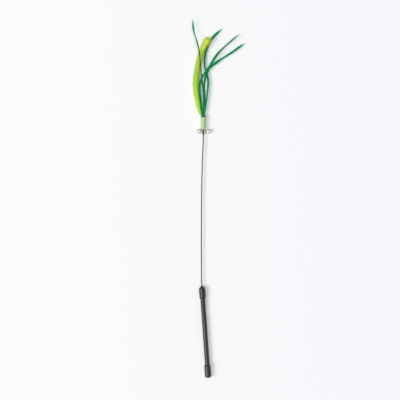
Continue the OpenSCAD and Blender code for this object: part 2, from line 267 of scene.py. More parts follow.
@dataclass(frozen=True)
class DrawnSteel(Finish):
    """Metal wire, cold drawn: a long soft sheen, fine lines along it and faint dark patches."""

    name: str = "spring_steel_drawn"
    slot: str = "spring_steel"
    bright: str = "#48484B"
    dull: str = "#343437"
    line_mm: float = 0.12
    patch_mm: float = 3.0
    smooth: float = 0.26
    rough: float = 0.42

    def material(self) -> bpy.types.Material:
        """Builds the drawing lines and the oxide patches."""
        material, tree, shader = self.start(Metallic=1.0)
        place = add_node(tree, "ShaderNodeTexCoord").outputs["Object"]
        drawn = add_node(tree, "ShaderNodeMapping", {"Vector": place, "Scale": (1, 0.03, 1)})
        lines = add_node(tree, "ShaderNodeTexNoise", {
            "Vector": drawn, "Scale": PER_MM / self.line_mm, "Detail": 2.0})
        patches = add_node(tree, "ShaderNodeTexNoise", {
            "Vector": place, "Scale": PER_MM / self.patch_mm, "Detail": 4.0, "Roughness": 0.6})
        tone = add_node(tree, "ShaderNodeMix", {
            0: patches, 6: linear(self.bright), 7: linear(self.dull)}, data_type="RGBA")
        gloss = add_node(tree, "ShaderNodeMapRange", {
            "Value": patches, "From Min": 0.3, "From Max": 0.7,
            "To Min": self.smooth, "To Max": self.rough})
        bump = add_node(tree, "ShaderNodeBump", {
            "Strength": 0.3, "Distance": 0.00001, "Height": lines})
        feed(tree, shader, {"Base Color": tone.outputs[2], "Roughness": gloss, "Normal": bump})
        return material


@dataclass(frozen=True)
class PlatedSheet(Finish):
    """Thin sheet metal, pressed and bright plated: a near mirror with a faint pebbling and finger
    marks that dull it here and there."""

    name: str = "nickel_plated_pressed"
    slot: str = "bell_nickel"
    bright: str = "#DADADC"
    dull: str = "#B4B3B4"
    pebble_mm: float = 0.5
    mark_mm: float = 2.5

    def material(self) -> bpy.types.Material:
        """Builds the pebbling and the dulled marks."""
        material, tree, shader = self.start(Metallic=1.0)
        place = add_node(tree, "ShaderNodeTexCoord").outputs["Object"]
        pebble = add_node(tree, "ShaderNodeTexNoise", {
            "Vector": place, "Scale": PER_MM / self.pebble_mm, "Detail": 2.0})
        marks = add_node(tree, "ShaderNodeTexNoise", {
            "Vector": place, "Scale": PER_MM / self.mark_mm, "Detail": 5.0, "Roughness": 0.6})
        worn = add_node(tree, "ShaderNodeMapRange", {
            "Value": marks, "From Min": 0.45, "From Max": 0.7})
        tone = add_node(tree, "ShaderNodeMix", {
            0: worn, 6: linear(self.bright), 7: linear(self.dull)}, data_type="RGBA")
        gloss = add_node(tree, "ShaderNodeMapRange", {
            "Value": worn, "To Min": 0.09, "To Max": 0.24})
        bump = add_node(tree, "ShaderNodeBump", {
            "Strength": 0.25, "Distance": 0.00001, "Height": pebble})
        feed(tree, shader, {"Base Color": tone.outputs[2], "Roughness": gloss, "Normal": bump})
        return material


@dataclass(frozen=True)
class SoftSleeve(Finish):
    """Plasticised PVC, dip moulded: milky and a little see-through, pale green, with a soft gloss
    and cloudy streaks."""

    name: str = "soft_pvc_translucent"
    slot: str = "sleeve_plastic"
    pale: str = "#C8EEB2"
    deep: str = "#AAE092"
    cloud_mm: float = 3.0

    def material(self) -> bpy.types.Material:
        """Builds the cloudy streaks and the uneven skin."""
        material, tree, shader = self.start(
            IOR=1.5, Roughness=0.34, Transmission_Weight=0.22, Subsurface_Weight=0.35,
            Subsurface_Radius=(1.0, 1.2, 0.7), Subsurface_Scale=0.0015)
        place = add_node(tree, "ShaderNodeTexCoord").outputs["Object"]
        drawn = add_node(tree, "ShaderNodeMapping", {"Vector": place, "Scale": (1, 0.3, 1)})
        clouds = add_node(tree, "ShaderNodeTexNoise", {
            "Vector": drawn, "Scale": PER_MM / self.cloud_mm, "Detail": 4.0})
        tone = add_node(tree, "ShaderNodeMix", {
            0: clouds, 6: linear(self.pale), 7: linear(self.deep)}, data_type="RGBA")
        bump = add_node(tree, "ShaderNodeBump", {
            "Strength": 0.4, "Distance": 0.00005, "Height": clouds})
        feed(tree, shader, {"Base Color": tone.outputs[2], "Normal": bump})
        return material


@dataclass(frozen=True)
class SpunThread(Finish):
    """Polyester thread, spun: matt, with the short slanted marks of its twist."""

    name: str = "polyester_thread_spun"
    slot: str = "binding_thread"
    light: str = "#A9CF92"
    dark: str = "#6E9A58"
    twist_mm: float = 0.2

    def material(self) -> bpy.types.Material:
        """Builds the twist marks."""
        material, tree, shader = self.start(Roughness=0.8, Sheen_Weight=0.3)
        place = add_node(tree, "ShaderNodeTexCoord").outputs["Object"]
        twist = add_node(tree, "ShaderNodeTexNoise", {
            "Vector": place, "Scale": PER_MM / self.twist_mm, "Detail": 3.0})
        tone = add_node(tree, "ShaderNodeMix", {
            0: twist, 6: linear(self.dark), 7: linear(self.light)}, data_type="RGBA")
        bump = add_node(tree, "ShaderNodeBump", {
            "Strength": 0.6, "Distance": 0.00004, "Height": twist})
        feed(tree, shader, {"Base Color": tone.outputs[2], "Normal": bump})
        return material


@dataclass(frozen=True)
class LeafFilm(Finish):
    """Dyed polyethylene sheet, embossed: satin, with fine ribs along it like the veins of grass,
    and paler towards a thin tip."""

    name: str = "green_pe_embossed"
    slot: str = "blade_film"
    base: str = "#00A264"
    dark: str = "#007E4C"
    tip: str = "#008C60"
    # Real ribs are about 0.25 mm apart; these are wider so that they show
    rib_mm: float = 0.44
    cloud_mm: float = 7.0
    length_mm: float = 160.0

    def material(self) -> bpy.types.Material:
        """Builds the ribs, the shade along the blade and the uneven dye."""
        material, tree, shader = self.start(
            IOR=1.51, Specular_IOR_Level=0.1, Subsurface_Weight=1.0,
            Subsurface_Radius=(0.1, 1.0, 0.5), Subsurface_Scale=0.001)
        flat = add_node(tree, "ShaderNodeTexCoord").outputs["UV"]
        place = add_node(tree, "ShaderNodeTexCoord").outputs["Object"]
        ribs = add_node(tree, "ShaderNodeTexWave", {
            "Vector": flat, "Scale": WAVE / self.rib_mm, "Distortion": 0.6, "Detail": 1.0,
            "Detail Scale": 0.3}, bands_direction="X")
        clouds = add_node(tree, "ShaderNodeTexNoise", {
            "Vector": place, "Scale": PER_MM / self.cloud_mm, "Detail": 4.0, "Roughness": 0.55})
        along = add_node(tree, "ShaderNodeSeparateXYZ", {"Vector": flat}).outputs["Y"]
        reach = add_node(tree, "ShaderNodeMapRange", {
            "Value": along, "From Min": 0.45 * self.length_mm, "From Max": self.length_mm},
            interpolation_type="SMOOTHSTEP")
        dyed = add_node(tree, "ShaderNodeMix", {
            0: clouds, 6: linear(self.dark), 7: linear(self.base)}, data_type="RGBA")
        faded = add_node(tree, "ShaderNodeMix", {
            0: reach, 6: dyed.outputs[2], 7: linear(self.tip)}, data_type="RGBA")
        gloss = add_node(tree, "ShaderNodeMapRange", {
            "Value": clouds, "From Min": 0.3, "From Max": 0.7, "To Min": 0.3, "To Max": 0.42})
        bump = add_node(tree, "ShaderNodeBump", {
            "Strength": 0.45, "Distance": 0.00004, "Height": ribs.outputs["Fac"]})
        feed(tree, shader, {"Base Color": faded.outputs[2], "Roughness": gloss, "Normal": bump})
        return material


@dataclass(frozen=True)
class NylonPile(Finish):
    """Nylon bristle, dyed and cut: bright lime fibres that let light through, yellower towards the
    tip, some of them darker olive at random, and darker olive in the gaps between tufts as painted shade."""

    name: str = "nylon_fibre_cut"
    slot: str = "plume_fibre"
    low: str = "#D6FC5C"
    middle: str = "#D6F85C"
    tip: str = "#EDF860"
    olive: str = "#9CC43C"

    def material(self) -> bpy.types.Material:
        """Builds the tone along the plume, and the olive darkening from fibre to fibre: partly random,
        partly painted shade in the gaps between tufts.
        """
        material, tree, shader = self.start(
            IOR=1.53, Roughness=0.45, Specular_IOR_Level=0.3)
        along = add_node(tree, "ShaderNodeAttribute", attribute_name="along").outputs["Fac"]
        shade = add_node(tree, "ShaderNodeAttribute", attribute_name="shade").outputs["Fac"]
        first = add_node(tree, "ShaderNodeMapRange", {"Value": along, "From Max": 0.55})
        second = add_node(tree, "ShaderNodeMapRange", {"Value": along, "From Min": 0.6, "From Max": 0.97})
        lower = add_node(tree, "ShaderNodeMix", {
            0: first, 6: linear(self.low), 7: linear(self.middle)}, data_type="RGBA")
        whole = add_node(tree, "ShaderNodeMix", {
            0: second, 6: lower.outputs[2], 7: linear(self.tip)}, data_type="RGBA")
        # Darkens towards olive by the shade attribute: partly at random, partly painted shade in the gaps
        # between tufts.
        dark = add_node(tree, "ShaderNodeMapRange", {
            "Value": shade, "From Min": 0.6, "From Max": 1.0, "To Max": 0.7})
        mixed = add_node(tree, "ShaderNodeMix", {
            0: dark, 6: whole.outputs[2], 7: linear(self.olive)}, data_type="RGBA")
        feed(tree, shader, {"Base Color": mixed.outputs[2]})
        return material


SPRING_STEEL = DrawnSteel()
COLLAR_STEEL = DrawnSteel(
    "blackened_steel_crimped", "collar_metal", "#3A393B", "#232224", 0.3, 1.2, 0.35, 0.5)
CORE_WIRE = DrawnSteel("galvanised_wire_twisted", "core_wire", "#8D9470", "#5F6546", 0.15, 1.5, 0.35, 0.5)
RING_BRASS = DrawnSteel("brass_wire_plated", "ring_brass", "#B89A55", "#8C7438", 0.15, 1.2, 0.2, 0.36)
SHOT_STEEL = DrawnSteel("steel_shot_tumbled", "pellet_steel", "#A2A2A5", "#6E6E72", 0.4, 0.9, 0.25, 0.45)
BELL_NICKEL = PlatedSheet()
SLEEVE_PVC = SoftSleeve()
PLUG_PVC = SoftSleeve("soft_pvc_plug", "sleeve_plastic", "#B4D8A0", "#94BE80", 1.5)
ANCHOR_PP = MouldedCap("grey_pp_moulded", "anchor_plastic", "#8C8C8E", 0.8, 0.1)
TUBE_ABS = ExtrudedTube()
CAP_ABS = MouldedCap()
THREAD = SpunThread()
PILE_NYLON = NylonPile()


# ---- Mesh making


def add_object(name: str, data: Any) -> bpy.types.Object:
    """Puts a mesh, lamp or camera in the scene as an object."""
    made = bpy.data.objects.new(name, data)
    bpy.context.scene.collection.objects.link(made)
    return made


def shade(mesh: bpy.types.Mesh, sharp: float) -> None:
    """Smooths a mesh, apart from the edges that turn by more than so many degrees."""
    mesh.polygons.foreach_set("use_smooth", [True] * len(mesh.polygons))
    mesh.set_sharp_from_angle(angle=math.radians(sharp))


class Form:
    """Gathers rows of points in millimetres and makes one mesh piece of them."""

    def __init__(self, name: str) -> None:
        """Starts an empty form.

        Args:
            name: the piece's name.
        """
        self.name = name
        self.points: list[Points] = []
        self.flat: list[Points] = []
        self.faces: list[tuple[int, ...]] = []
        self.count = 0

    def skin(self, rings: Points, loop: bool = False, flat: Optional[Points] = None) -> "Form":
        """Adds a wall through rings of points.

        Args:
            rings: array of rings, points and coordinates.
            loop: joins the last ring to the first; otherwise both ends are closed.
            flat: the same array with two coordinates, for the UV map.

        Returns:
            The form itself.
        """
        m, n = rings.shape[:2]
        base = self.count
        for i in range(m if loop else m - 1):
            j = (i + 1) % m
            for k in range(n):
                l = (k + 1) % n
                self.faces.append((base + i * n + k, base + i * n + l, base + j * n + l, base + j * n + k))
        if not loop:
            self.faces.append(tuple(base + k for k in reversed(range(n))))
            self.faces.append(tuple(base + (m - 1) * n + k for k in range(n)))
        return self._keep(rings.reshape(-1, 3), None if flat is None else flat.reshape(-1, 2))

    def sheet(self, points: Points, faces: Sequence[Sequence[int]]) -> "Form":
        """Adds loose faces on their own points.

        Args:
            points: array of points.
            faces: numbers of each face's points.

        Returns:
            The form itself.
        """
        self.faces += [tuple(self.count + i for i in face) for face in faces]
        return self._keep(points, None)

    def _keep(self, points: Points, flat: Optional[Points]) -> "Form":
        """Keeps the points and their UV places."""
        self.points.append(points)
        self.flat.append(np.zeros((len(points), 2)) if flat is None else flat)
        self.count += len(points)
        return self

    def make(self, place: Optional[Matrix] = None, sharp: float = 40.0) -> bpy.types.Object:
        """Makes the mesh object, closed at its poles and with its faces outwards.

        Args:
            place: the form's own frame in the row frame, in millimetres.
            sharp: edges that turn by more than this many degrees stay sharp.

        Returns:
            The object, at the origin.
        """
        mesh = bpy.data.meshes.new(self.name)
        points = placed(np.concatenate(self.points), place)
        mesh.from_pydata((points * MM).tolist(), [], self.faces)
        flat = np.concatenate(self.flat)
        layer = mesh.uv_layers.new(name="flat")
        corners = np.zeros(len(mesh.loops), np.int32)
        mesh.loops.foreach_get("vertex_index", corners)
        layer.data.foreach_set("uv", flat[corners].astype(np.float32).ravel())
        work = bmesh.new()
        work.from_mesh(mesh)
        bmesh.ops.remove_doubles(work, verts=work.verts, dist=1e-8)
        bmesh.ops.dissolve_degenerate(work, edges=work.edges, dist=1e-8)
        bmesh.ops.recalc_face_normals(work, faces=work.faces)
        work.to_mesh(mesh)
        work.free()
        shade(mesh, sharp)
        return add_object(self.name, mesh)


def rounded(corners: Sequence[tuple[float, float, float]], steps: int = 5) -> Points:
    """Rounds the corners of a closed outline.

    Args:
        corners: each corner's two coordinates and its fillet radius, 0 for a sharp one.
        steps: points on each fillet.

    Returns:
        The outline's points.
    """
    out: list[Points] = []
    total = len(corners)
    for i, (x, y, r) in enumerate(corners):
        here = np.array((x, y), float)
        if r <= 0:
            out.append(here)
            continue
        a = unit(np.array(corners[i - 1][:2], float) - here)
        b = unit(np.array(corners[(i + 1) % total][:2], float) - here)
        half = math.acos(float(np.clip(a @ b, -1, 1))) / 2
        centre = here + unit(a + b) * r / math.sin(half)
        first = here + a * r / math.tan(half) - centre
        last = here + b * r / math.tan(half) - centre
        for t in np.linspace(0, 1, steps + 1):
            out.append(centre + unit(first * (1 - t) + last * t) * r)
    return np.array(out)


def turned(outline: Points, sides: int = 96) -> Points:
    """Turns an outline of radius and height round the Y axis.

    Args:
        outline: array of radius and height along Y.
        sides: copies of the outline round the axis.

    Returns:
        Rings for Form.skin with loop=True.
    """
    angle = round_angles(sides)[:, None]
    radius, high = outline[None, :, 0], outline[None, :, 1]
    return np.stack(np.broadcast_arrays(radius * np.cos(angle), high, radius * np.sin(angle)), -1)


def plain_mesh(piece: bpy.types.Object) -> bpy.types.Object:
    """Turns what a piece's modifiers make into its own mesh, and removes them."""
    graph = bpy.context.evaluated_depsgraph_get()
    made = bpy.data.meshes.new_from_object(
        piece.evaluated_get(graph), preserve_all_data_layers=True, depsgraph=graph)
    old = piece.data
    piece.modifiers.clear()
    piece.data = made
    made.name = piece.name
    bpy.data.meshes.remove(old)
    return piece


def with_tree(piece: bpy.types.Object, tree: Tree, values: dict[str, Any]) -> bpy.types.Object:
    """Runs a geometry tree on a piece and keeps the result as a plain mesh.

    Args:
        piece: the object that carries the path.
        tree: geometry node tree.
        values: the tree's input names and their values.

    Returns:
        The piece.
    """
    modifier = piece.modifiers.new(tree.name, "NODES")
    modifier.node_group = tree
    for item in tree.interface.items_tree:
        if item.item_type == "SOCKET" and item.in_out == "INPUT" and item.name in values:
            modifier[item.identifier] = values[item.name]
    return plain_mesh(piece)


def new_tree(name: str, inputs: Sequence[tuple[str, str, Any]]) -> tuple[Tree, bpy.types.Node]:
    """Starts a geometry tree with named inputs.

    Args:
        name: the tree's name.
        inputs: each input's name, socket type and default value.

    Returns:
        The tree and its input node.
    """
    tree = bpy.data.node_groups.new(name, "GeometryNodeTree")
    tree.interface.new_socket("Line", in_out="INPUT", socket_type="NodeSocketGeometry")
    for label, kind, value in inputs:
        socket = tree.interface.new_socket(label, in_out="INPUT", socket_type=kind)
        if value is not None:
            socket.default_value = value
    tree.interface.new_socket("Piece", in_out="OUTPUT", socket_type="NodeSocketGeometry")
    return tree, add_node(tree, "NodeGroupInput")


def polyline(name: str, path: Points) -> bpy.types.Object:
    """Makes an object at the origin whose mesh is one line of edges, from millimetres."""
    mesh = bpy.data.meshes.new(name)
    mesh.from_pydata((path * MM).tolist(), [(i, i + 1) for i in range(len(path) - 1)], [])
    return add_object(name, mesh)


class RoundStock:
    """Round wire, thread or beading that follows a path, made by one geometry tree."""

    tree: Optional[Tree] = None
    sharp: float = 60.0

    @classmethod
    def _tree(cls) -> Tree:
        """Builds the tree: a circle swept along the line, with closed ends."""
        tree, start = new_tree("round_stock_along_path", [
            ("Radius", "NodeSocketFloat", 0.0005), ("Sides", "NodeSocketInt", 12),
            ("Finish", "NodeSocketMaterial", None)])
        curve = add_node(tree, "GeometryNodeMeshToCurve", {"Mesh": start.outputs["Line"]})
        section = add_node(tree, "GeometryNodeCurvePrimitiveCircle", {
            "Resolution": start.outputs["Sides"], "Radius": start.outputs["Radius"]})
        swept = add_node(tree, "GeometryNodeCurveToMesh", {
            "Curve": curve, "Profile Curve": section, "Fill Caps": True})
        smooth = add_node(tree, "GeometryNodeSetShadeSmooth", {"Geometry": swept})
        solid = add_node(tree, "GeometryNodeRealizeInstances", {"Geometry": smooth})
        dressed = add_node(tree, "GeometryNodeSetMaterial", {
            "Geometry": solid, "Material": start.outputs["Finish"]})
        add_node(tree, "NodeGroupOutput", {0: dressed})
        return tree

    @classmethod
    def along(cls, name: str, path: Points, radius: float, finish: Finish, sides: int,
              place: Optional[Matrix] = None) -> bpy.types.Object:
        """Sweeps a round section along a path.

        Args:
            name: the piece's name.
            path: points in millimetres.
            radius: of the section, in millimetres.
            finish: what the piece is made of.
            sides: of the section.
            place: the path's own frame in the row frame, in millimetres.

        Returns:
            The piece.
        """
        if cls.tree is None:
            cls.tree = cls._tree()
        piece = with_tree(polyline(name, placed(path, place)), cls.tree, {
            "Radius": radius * MM, "Sides": sides, "Finish": finish.made()})
        piece.data.set_sharp_from_angle(angle=math.radians(cls.sharp))
        return piece


def finish_piece(piece: bpy.types.Object, finish: Finish, body: str, *nodes: str) -> None:
    """Dresses a piece, puts it on its body and hides the solids that it stands for.

    Args:
        piece: the finished mesh.
        finish: what it is made of.
        body: what it rides on.
        nodes: solids that it replaces.
    """
    finish.dress(piece)
    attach(piece, body)
    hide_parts(*nodes)
    log.info("%s rides on %s, %d faces", piece.name, body, len(piece.data.polygons))


def refined(node: str, finish: Finish, body: str, sharp: float = 35.0) -> None:
    """Makes a smooth copy of a solid of the frame, which stands for it.

    Args:
        node: the solid's name.
        finish: what it is made of.
        body: what it rides on.
        sharp: edges that turn by more than this many degrees stay sharp.
    """
    mesh = bpy.data.objects[node].data.copy()
    work = bmesh.new()
    work.from_mesh(mesh)
    bmesh.ops.remove_doubles(work, verts=work.verts, dist=1e-6)
    work.to_mesh(mesh)
    work.free()
    shade(mesh, sharp)
    finish_piece(add_object(node + "_smooth", mesh), finish, body, node)


# ---- Lines that the parts follow


@dataclass(frozen=True)
class WireLine:
    """Centreline of the springy wire: a straight tail, bowed stretches and a straight head."""

    nose_y: float = 137.6
    tail: float = 28.2
    # Each stretch is its length and its turn to the right in degrees
    bends: tuple[tuple[float, float], ...] = ((8, 3.2), (75, 1.0), (55, 0.4), (75, 2.2), (16, -3.0))
    below: float = 5.6
    inside: float = 12.0

    def at(self, s: float) -> tuple[float, float, float]:
        """Point and heading of the wire.

        Args:
            s: distance past the handle's nose.

        Returns:
            X, Y and the heading in radians to the right of +Y.
        """
        x, y, h = 0.0, self.nose_y, 0.0
        if s <= 0:
            return x, y + s, h
        for length, turn in self.bends:
            r = length / math.radians(turn)
            step = min(s, length)
            h2 = h + math.radians(turn) * step / length
            x += r * (math.cos(h) - math.cos(h2))
            y += r * (math.sin(h2) - math.sin(h))
            h = h2
            s -= step
            if s <= 0:
                return x, y, h
        return x + s * math.sin(h), y + s * math.cos(h), h

    @property
    def bowed(self) -> float:
        """Length of the bowed stretches together."""
        return sum(length for length, _ in self.bends)

    def path(self, start: float, end: float, step: float = 1.2) -> Points:
        """Points on the wire from one distance to another."""
        shares = np.linspace(start, end, max(2, round((end - start) / step) + 1))
        return np.array([(*self.at(s)[:2], 0.0) for s in shares])

    def head_frame(self) -> Matrix:
        """Frame of the teaser: +Y up the sleeve from the middle of its foot."""
        x, y, h = self.at(self.bowed + self.below)
        return Matrix.Translation((x, y, 0)) @ Matrix.Rotation(-h, 4, "Z")


WIRE = WireLine()
HEAD = WIRE.head_frame()


@dataclass(frozen=True)
class Route:
    """Smooth curve through places in the head's frame, each with a fourth value to carry."""

    knots: tuple[tuple[float, float, float, float], ...]

    def on(self, share: Points) -> Points:
        """Points of the curve with their fourth value.

        Args:
            share: places along the route, from 0 to 1.

        Returns:
            Array of four values a row.
        """
        k = np.array(self.knots, float)
        last = len(k) - 1
        k = np.concatenate([[2 * k[0] - k[1]], k, [2 * k[-1] - k[-2]]])
        s = np.clip(share, 0, 1) * last
        i = np.minimum(last - 1, np.floor(s).astype(int))
        t = (s - i)[:, None]
        a, b, c, d = k[i], k[i + 1], k[i + 2], k[i + 3]
        return 0.5 * (2 * b + (c - a) * t + (2 * a - 5 * b + 4 * c - d) * t**2
                      + (3 * b - a - 3 * c + d) * t**3)

    def frames(self, share: Points, step: float = 0.002) -> tuple[Points, Points, Points]:
        """Directions along the route, level across it, and up from it."""
        ahead = self.on(np.minimum(1, share + step)) - self.on(np.maximum(0, share - step))
        along = unit(ahead[:, :3])
        level = unit(np.cross(along, (0.0, 0.0, 1.0)))
        return along, level, np.cross(level, along)


# ---- Sub-assemblies


@dataclass
class Studio:
    """Pale floor, soft lamps and the camera."""

    # Middle of the picture, its width on the object, and its turn against the handle
    middle: tuple[float, float] = (6.09, 266.06)
    picture_w: float = 598.3
    turn_deg: float = 3.98
    camera_h: float = 2200.0
    sensor: float = 36.0
    clip_end: float = 20000.0
    # The floor reaches this far each way, and its colour changes over this stretch of X: a little darker
    # and bluer towards +X, a painted falloff of light away from the key lamp
    floor_reach: float = 3000.0
    floor_lit_left: str = "#FBFBFB"
    floor_shaded_right: str = "#F7F6FB"
    floor_painted_falloff: tuple[float, float] = (-200.0, 250.0)
    # Shares of the floor's light: from all round, from the key lamp and from the one overhead
    round_share: float = 0.23
    key_share: float = 0.35
    key_from: tuple[float, float, float] = (-0.92, -0.25, 1.0)
    key_soft_deg: float = 30.0
    top_share: float = 0.42
    top_from: tuple[float, float, float] = (0.03, 0.02, 1.0)
    top_soft_deg: float = 36.0
    # Strength of what the eye and the reflections see all round
    backdrop: float = 0.95

    def build(self) -> None:
        """Builds the floor, the lamps, the world and the camera."""
        bpy.context.scene.view_settings.view_transform = "Standard"
        self._floor()
        self._lamp("key_lamp", self.key_share, self.key_from, self.key_soft_deg)
        top = self._lamp("top_lamp", self.top_share, self.top_from, self.top_soft_deg)
        top.visible_glossy = False
        self._world()
        self._camera()

    def _floor(self) -> None:
        """A pale sheet that the wand lies on, with a painted falloff of light from left to right."""
        size, z = self.floor_reach * MM, FLOOR_Z * MM
        mesh = bpy.data.meshes.new("floor_sheet")
        mesh.from_pydata([(-size, -size, z), (size, -size, z), (size, size, z), (-size, size, z)], [],
                         [(0, 1, 2, 3)])
        material, tree, shader = Finish("pale_card").start(Roughness=0.9, Specular_IOR_Level=0.0)
        place = add_node(tree, "ShaderNodeTexCoord").outputs["Object"]
        across = add_node(tree, "ShaderNodeSeparateXYZ", {"Vector": place}).outputs["X"]
        share = add_node(tree, "ShaderNodeMapRange", {
            "Value": across, "From Min": self.floor_painted_falloff[0] * MM, "From Max": self.floor_painted_falloff[1] * MM})
        # Painted falloff: the floor's colour is a little darker towards +X, away from the key lamp.
        tone = add_node(tree, "ShaderNodeMix", {
            0: share, 6: linear(self.floor_lit_left), 7: linear(self.floor_shaded_right)}, data_type="RGBA")
        feed(tree, shader, {"Base Color": tone.outputs[2]})
        mesh.materials.append(material)
        add_object("floor_sheet", mesh)

    def _lamp(self, name: str, share: float, source: Sequence[float], soft_deg: float) -> bpy.types.Object:
        """Makes a far, soft lamp.

        Args:
            name: the lamp's name.
            share: of the floor's light.
            source: direction that it shines from.
            soft_deg: how wide it looks from the object.

        Returns:
            The lamp.
        """
        data = bpy.data.lights.new(name, "SUN")
        data.energy = share * math.pi / Vector(source).normalized().z
        data.angle = math.radians(soft_deg)
        lamp = add_object(name, data)
        lamp.rotation_euler = Vector(source).to_track_quat("Z", "Y").to_euler()
        return lamp

    def _world(self) -> None:
        """Soft light from all round, pale to the eye and in reflections."""
        world = bpy.data.worlds.new("studio_world")
        world.use_nodes = True
        tree = world.node_tree
        rays = add_node(tree, "ShaderNodeLightPath").outputs
        seen = add_node(tree, "ShaderNodeMath", {
            0: rays["Is Camera Ray"], 1: rays["Is Glossy Ray"]}, operation="MAXIMUM")
        pale = add_node(tree, "ShaderNodeMath", {
            0: seen, 1: rays["Is Transmission Ray"]}, operation="MAXIMUM")
        strength = add_node(tree, "ShaderNodeMapRange", {
            "Value": pale, "To Min": self.round_share, "To Max": self.backdrop})
        feed(tree, tree.nodes["Background"], {"Color": linear("#FFFFFF"), "Strength": strength})
        bpy.context.scene.world = world

    def _camera(self) -> None:
        """A long lens straight above, turned as the picture is."""
        data = bpy.data.cameras.new("camera")
        data.sensor_width = self.sensor
        data.lens = self.sensor * self.camera_h / self.picture_w
        data.clip_end = self.clip_end * MM
        camera = add_object("camera", data)
        turn = Matrix.Rotation(-math.radians(self.turn_deg), 4, "Z")
        camera.matrix_world = Matrix.Translation(
            Vector((*self.middle, self.camera_h)) * MM) @ turn
        bpy.context.scene.camera = camera


@dataclass
class Handle:
    """Extruded barrel with a moulded cap on each end and the plug that holds the wire."""

    length: float = WIRE.nose_y
    barrel_r: float = 3.5
    barrel_wall: float = 1.0
    barrel_from: float = 6.0
    barrel_to: float = 132.4
    cap_r: float = 4.7
    butt_cap_l: float = 20.0
    nose_cap_l: float = 19.2
    butt_flat_r: float = 1.6
    butt_round: float = 3.1
    nose_r: float = 1.4
    # The nose cap's shoulder: where it starts and ends before the nose, and how far it steps in
    shoulder: tuple[float, float] = (3.9, 3.1)
    shoulder_in: float = 0.6
    grip: float = 14.0
    taper: float = 2.4
    lip: float = 0.35
    snug: float = 0.02
    bore_r: float = 0.74
    gate_r: float = 0.55
    gate_deep: float = 0.18

    def build(self) -> None:
        """Builds and dresses the handle's pieces."""
        self._barrel()
        self._butt_cap()
        self._nose_cap()
        refined("wire_anchor", ANCHOR_PP, "handle")

    def _turned(self, name: str, outline: Points, finish: Finish, node: str) -> None:
        """Turns an outline round the handle's axis and dresses it."""
        piece = Form(name).skin(turned(outline), loop=True).make()
        finish_piece(piece, finish, "handle", node)

    def _barrel(self) -> None:
        """The tube, with its cut ends eased."""
        inner = self.barrel_r - self.barrel_wall
        outline = rounded([
            (self.barrel_r, self.barrel_from, 0.15), (self.barrel_r, self.barrel_to, 0.15),
            (inner, self.barrel_to, 0.1), (inner, self.barrel_from, 0.1)])
        self._turned("handle_tube", outline, TUBE_ABS, "handle_barrel")

    def _butt_cap(self) -> None:
        """Domed cap with the small sunk mark of the mould's gate at its end."""
        wall = self.barrel_r + self.snug
        arc = [(self.butt_flat_r + self.butt_round * math.sin(a),
                self.butt_round * (1 - math.cos(a)), 0.0) for a in np.linspace(0, math.pi / 2, 15)]
        outline = rounded([
            (0, self.gate_deep, 0), (self.gate_r - 0.1, self.gate_deep, 0.08), (self.gate_r, 0, 0.06),
            *arc,
            (self.cap_r, self.butt_cap_l - self.taper, 0.7),
            (self.barrel_r + self.lip, self.butt_cap_l, 0.1),
            (wall, self.butt_cap_l, 0.04), (wall, self.butt_cap_l - self.grip, 0),
            (0, self.butt_cap_l - self.grip, 0)])
        self._turned("butt_cap_moulded", outline, CAP_ABS, "butt_cap")

    def _nose_cap(self) -> None:
        """Cap that tapers to the wire over a soft shoulder."""
        start = self.length - self.nose_cap_l
        wall = self.barrel_r + self.snug
        outline = rounded([
            (self.barrel_r + self.lip, start, 0.1), (self.cap_r, start + self.taper, 0.7),
            (self.cap_r, self.length - self.shoulder[0], 1.1),
            (self.cap_r - self.shoulder_in, self.length - self.shoulder[1], 0.6),
            (self.nose_r + 0.25, self.length - 0.2, 0.3), (self.nose_r, self.length, 0.15),
            (self.bore_r, self.length, 0.05), (self.bore_r, start + self.grip, 0),
            (wall, start + self.grip, 0), (wall, start, 0.04)])
        self._turned("nose_cap_moulded", outline, CAP_ABS, "nose_cap")


@dataclass
class SpringWire:
    """The wire in two lengths, split at one point along it."""

    radius: float = 0.7
    sides: int = 20
    # Distances past the nose: both hinges, the reach of a bend on each side, and the split
    sway: float = 45.0
    lift: float = 110.0
    sway_reach: float = 31.0
    lift_reach: float = 32.0
    split: float = 77.0

    def _at(self, s: float) -> Vector:
        """Point of the wire in metres."""
        return Vector((*WIRE.at(s)[:2], 0)) * MM

    def build(self) -> None:
        """Builds and dresses both lengths."""
        end = WIRE.bowed + WIRE.below + WIRE.inside
        lower, upper = (
            RoundStock.along(name, WIRE.path(*ends), self.radius, SPRING_STEEL, self.sides)
            for name, ends in (("wire_lower", (-WIRE.tail, self.split)), ("wire_upper", (self.split, end))))
        self._at(self.sway - self.sway_reach)
        self._at(self.sway + self.sway_reach)
        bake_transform(lower)
        self._at(self.lift - self.lift_reach)
        self._at(self.lift + self.lift_reach)
        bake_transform(upper)
        for piece in (lower, upper):
            SPRING_STEEL.dress(piece)
            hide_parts("wand_wire")
            log.info("%s bends over its joint, %d faces", piece.name, len(piece.data.polygons))


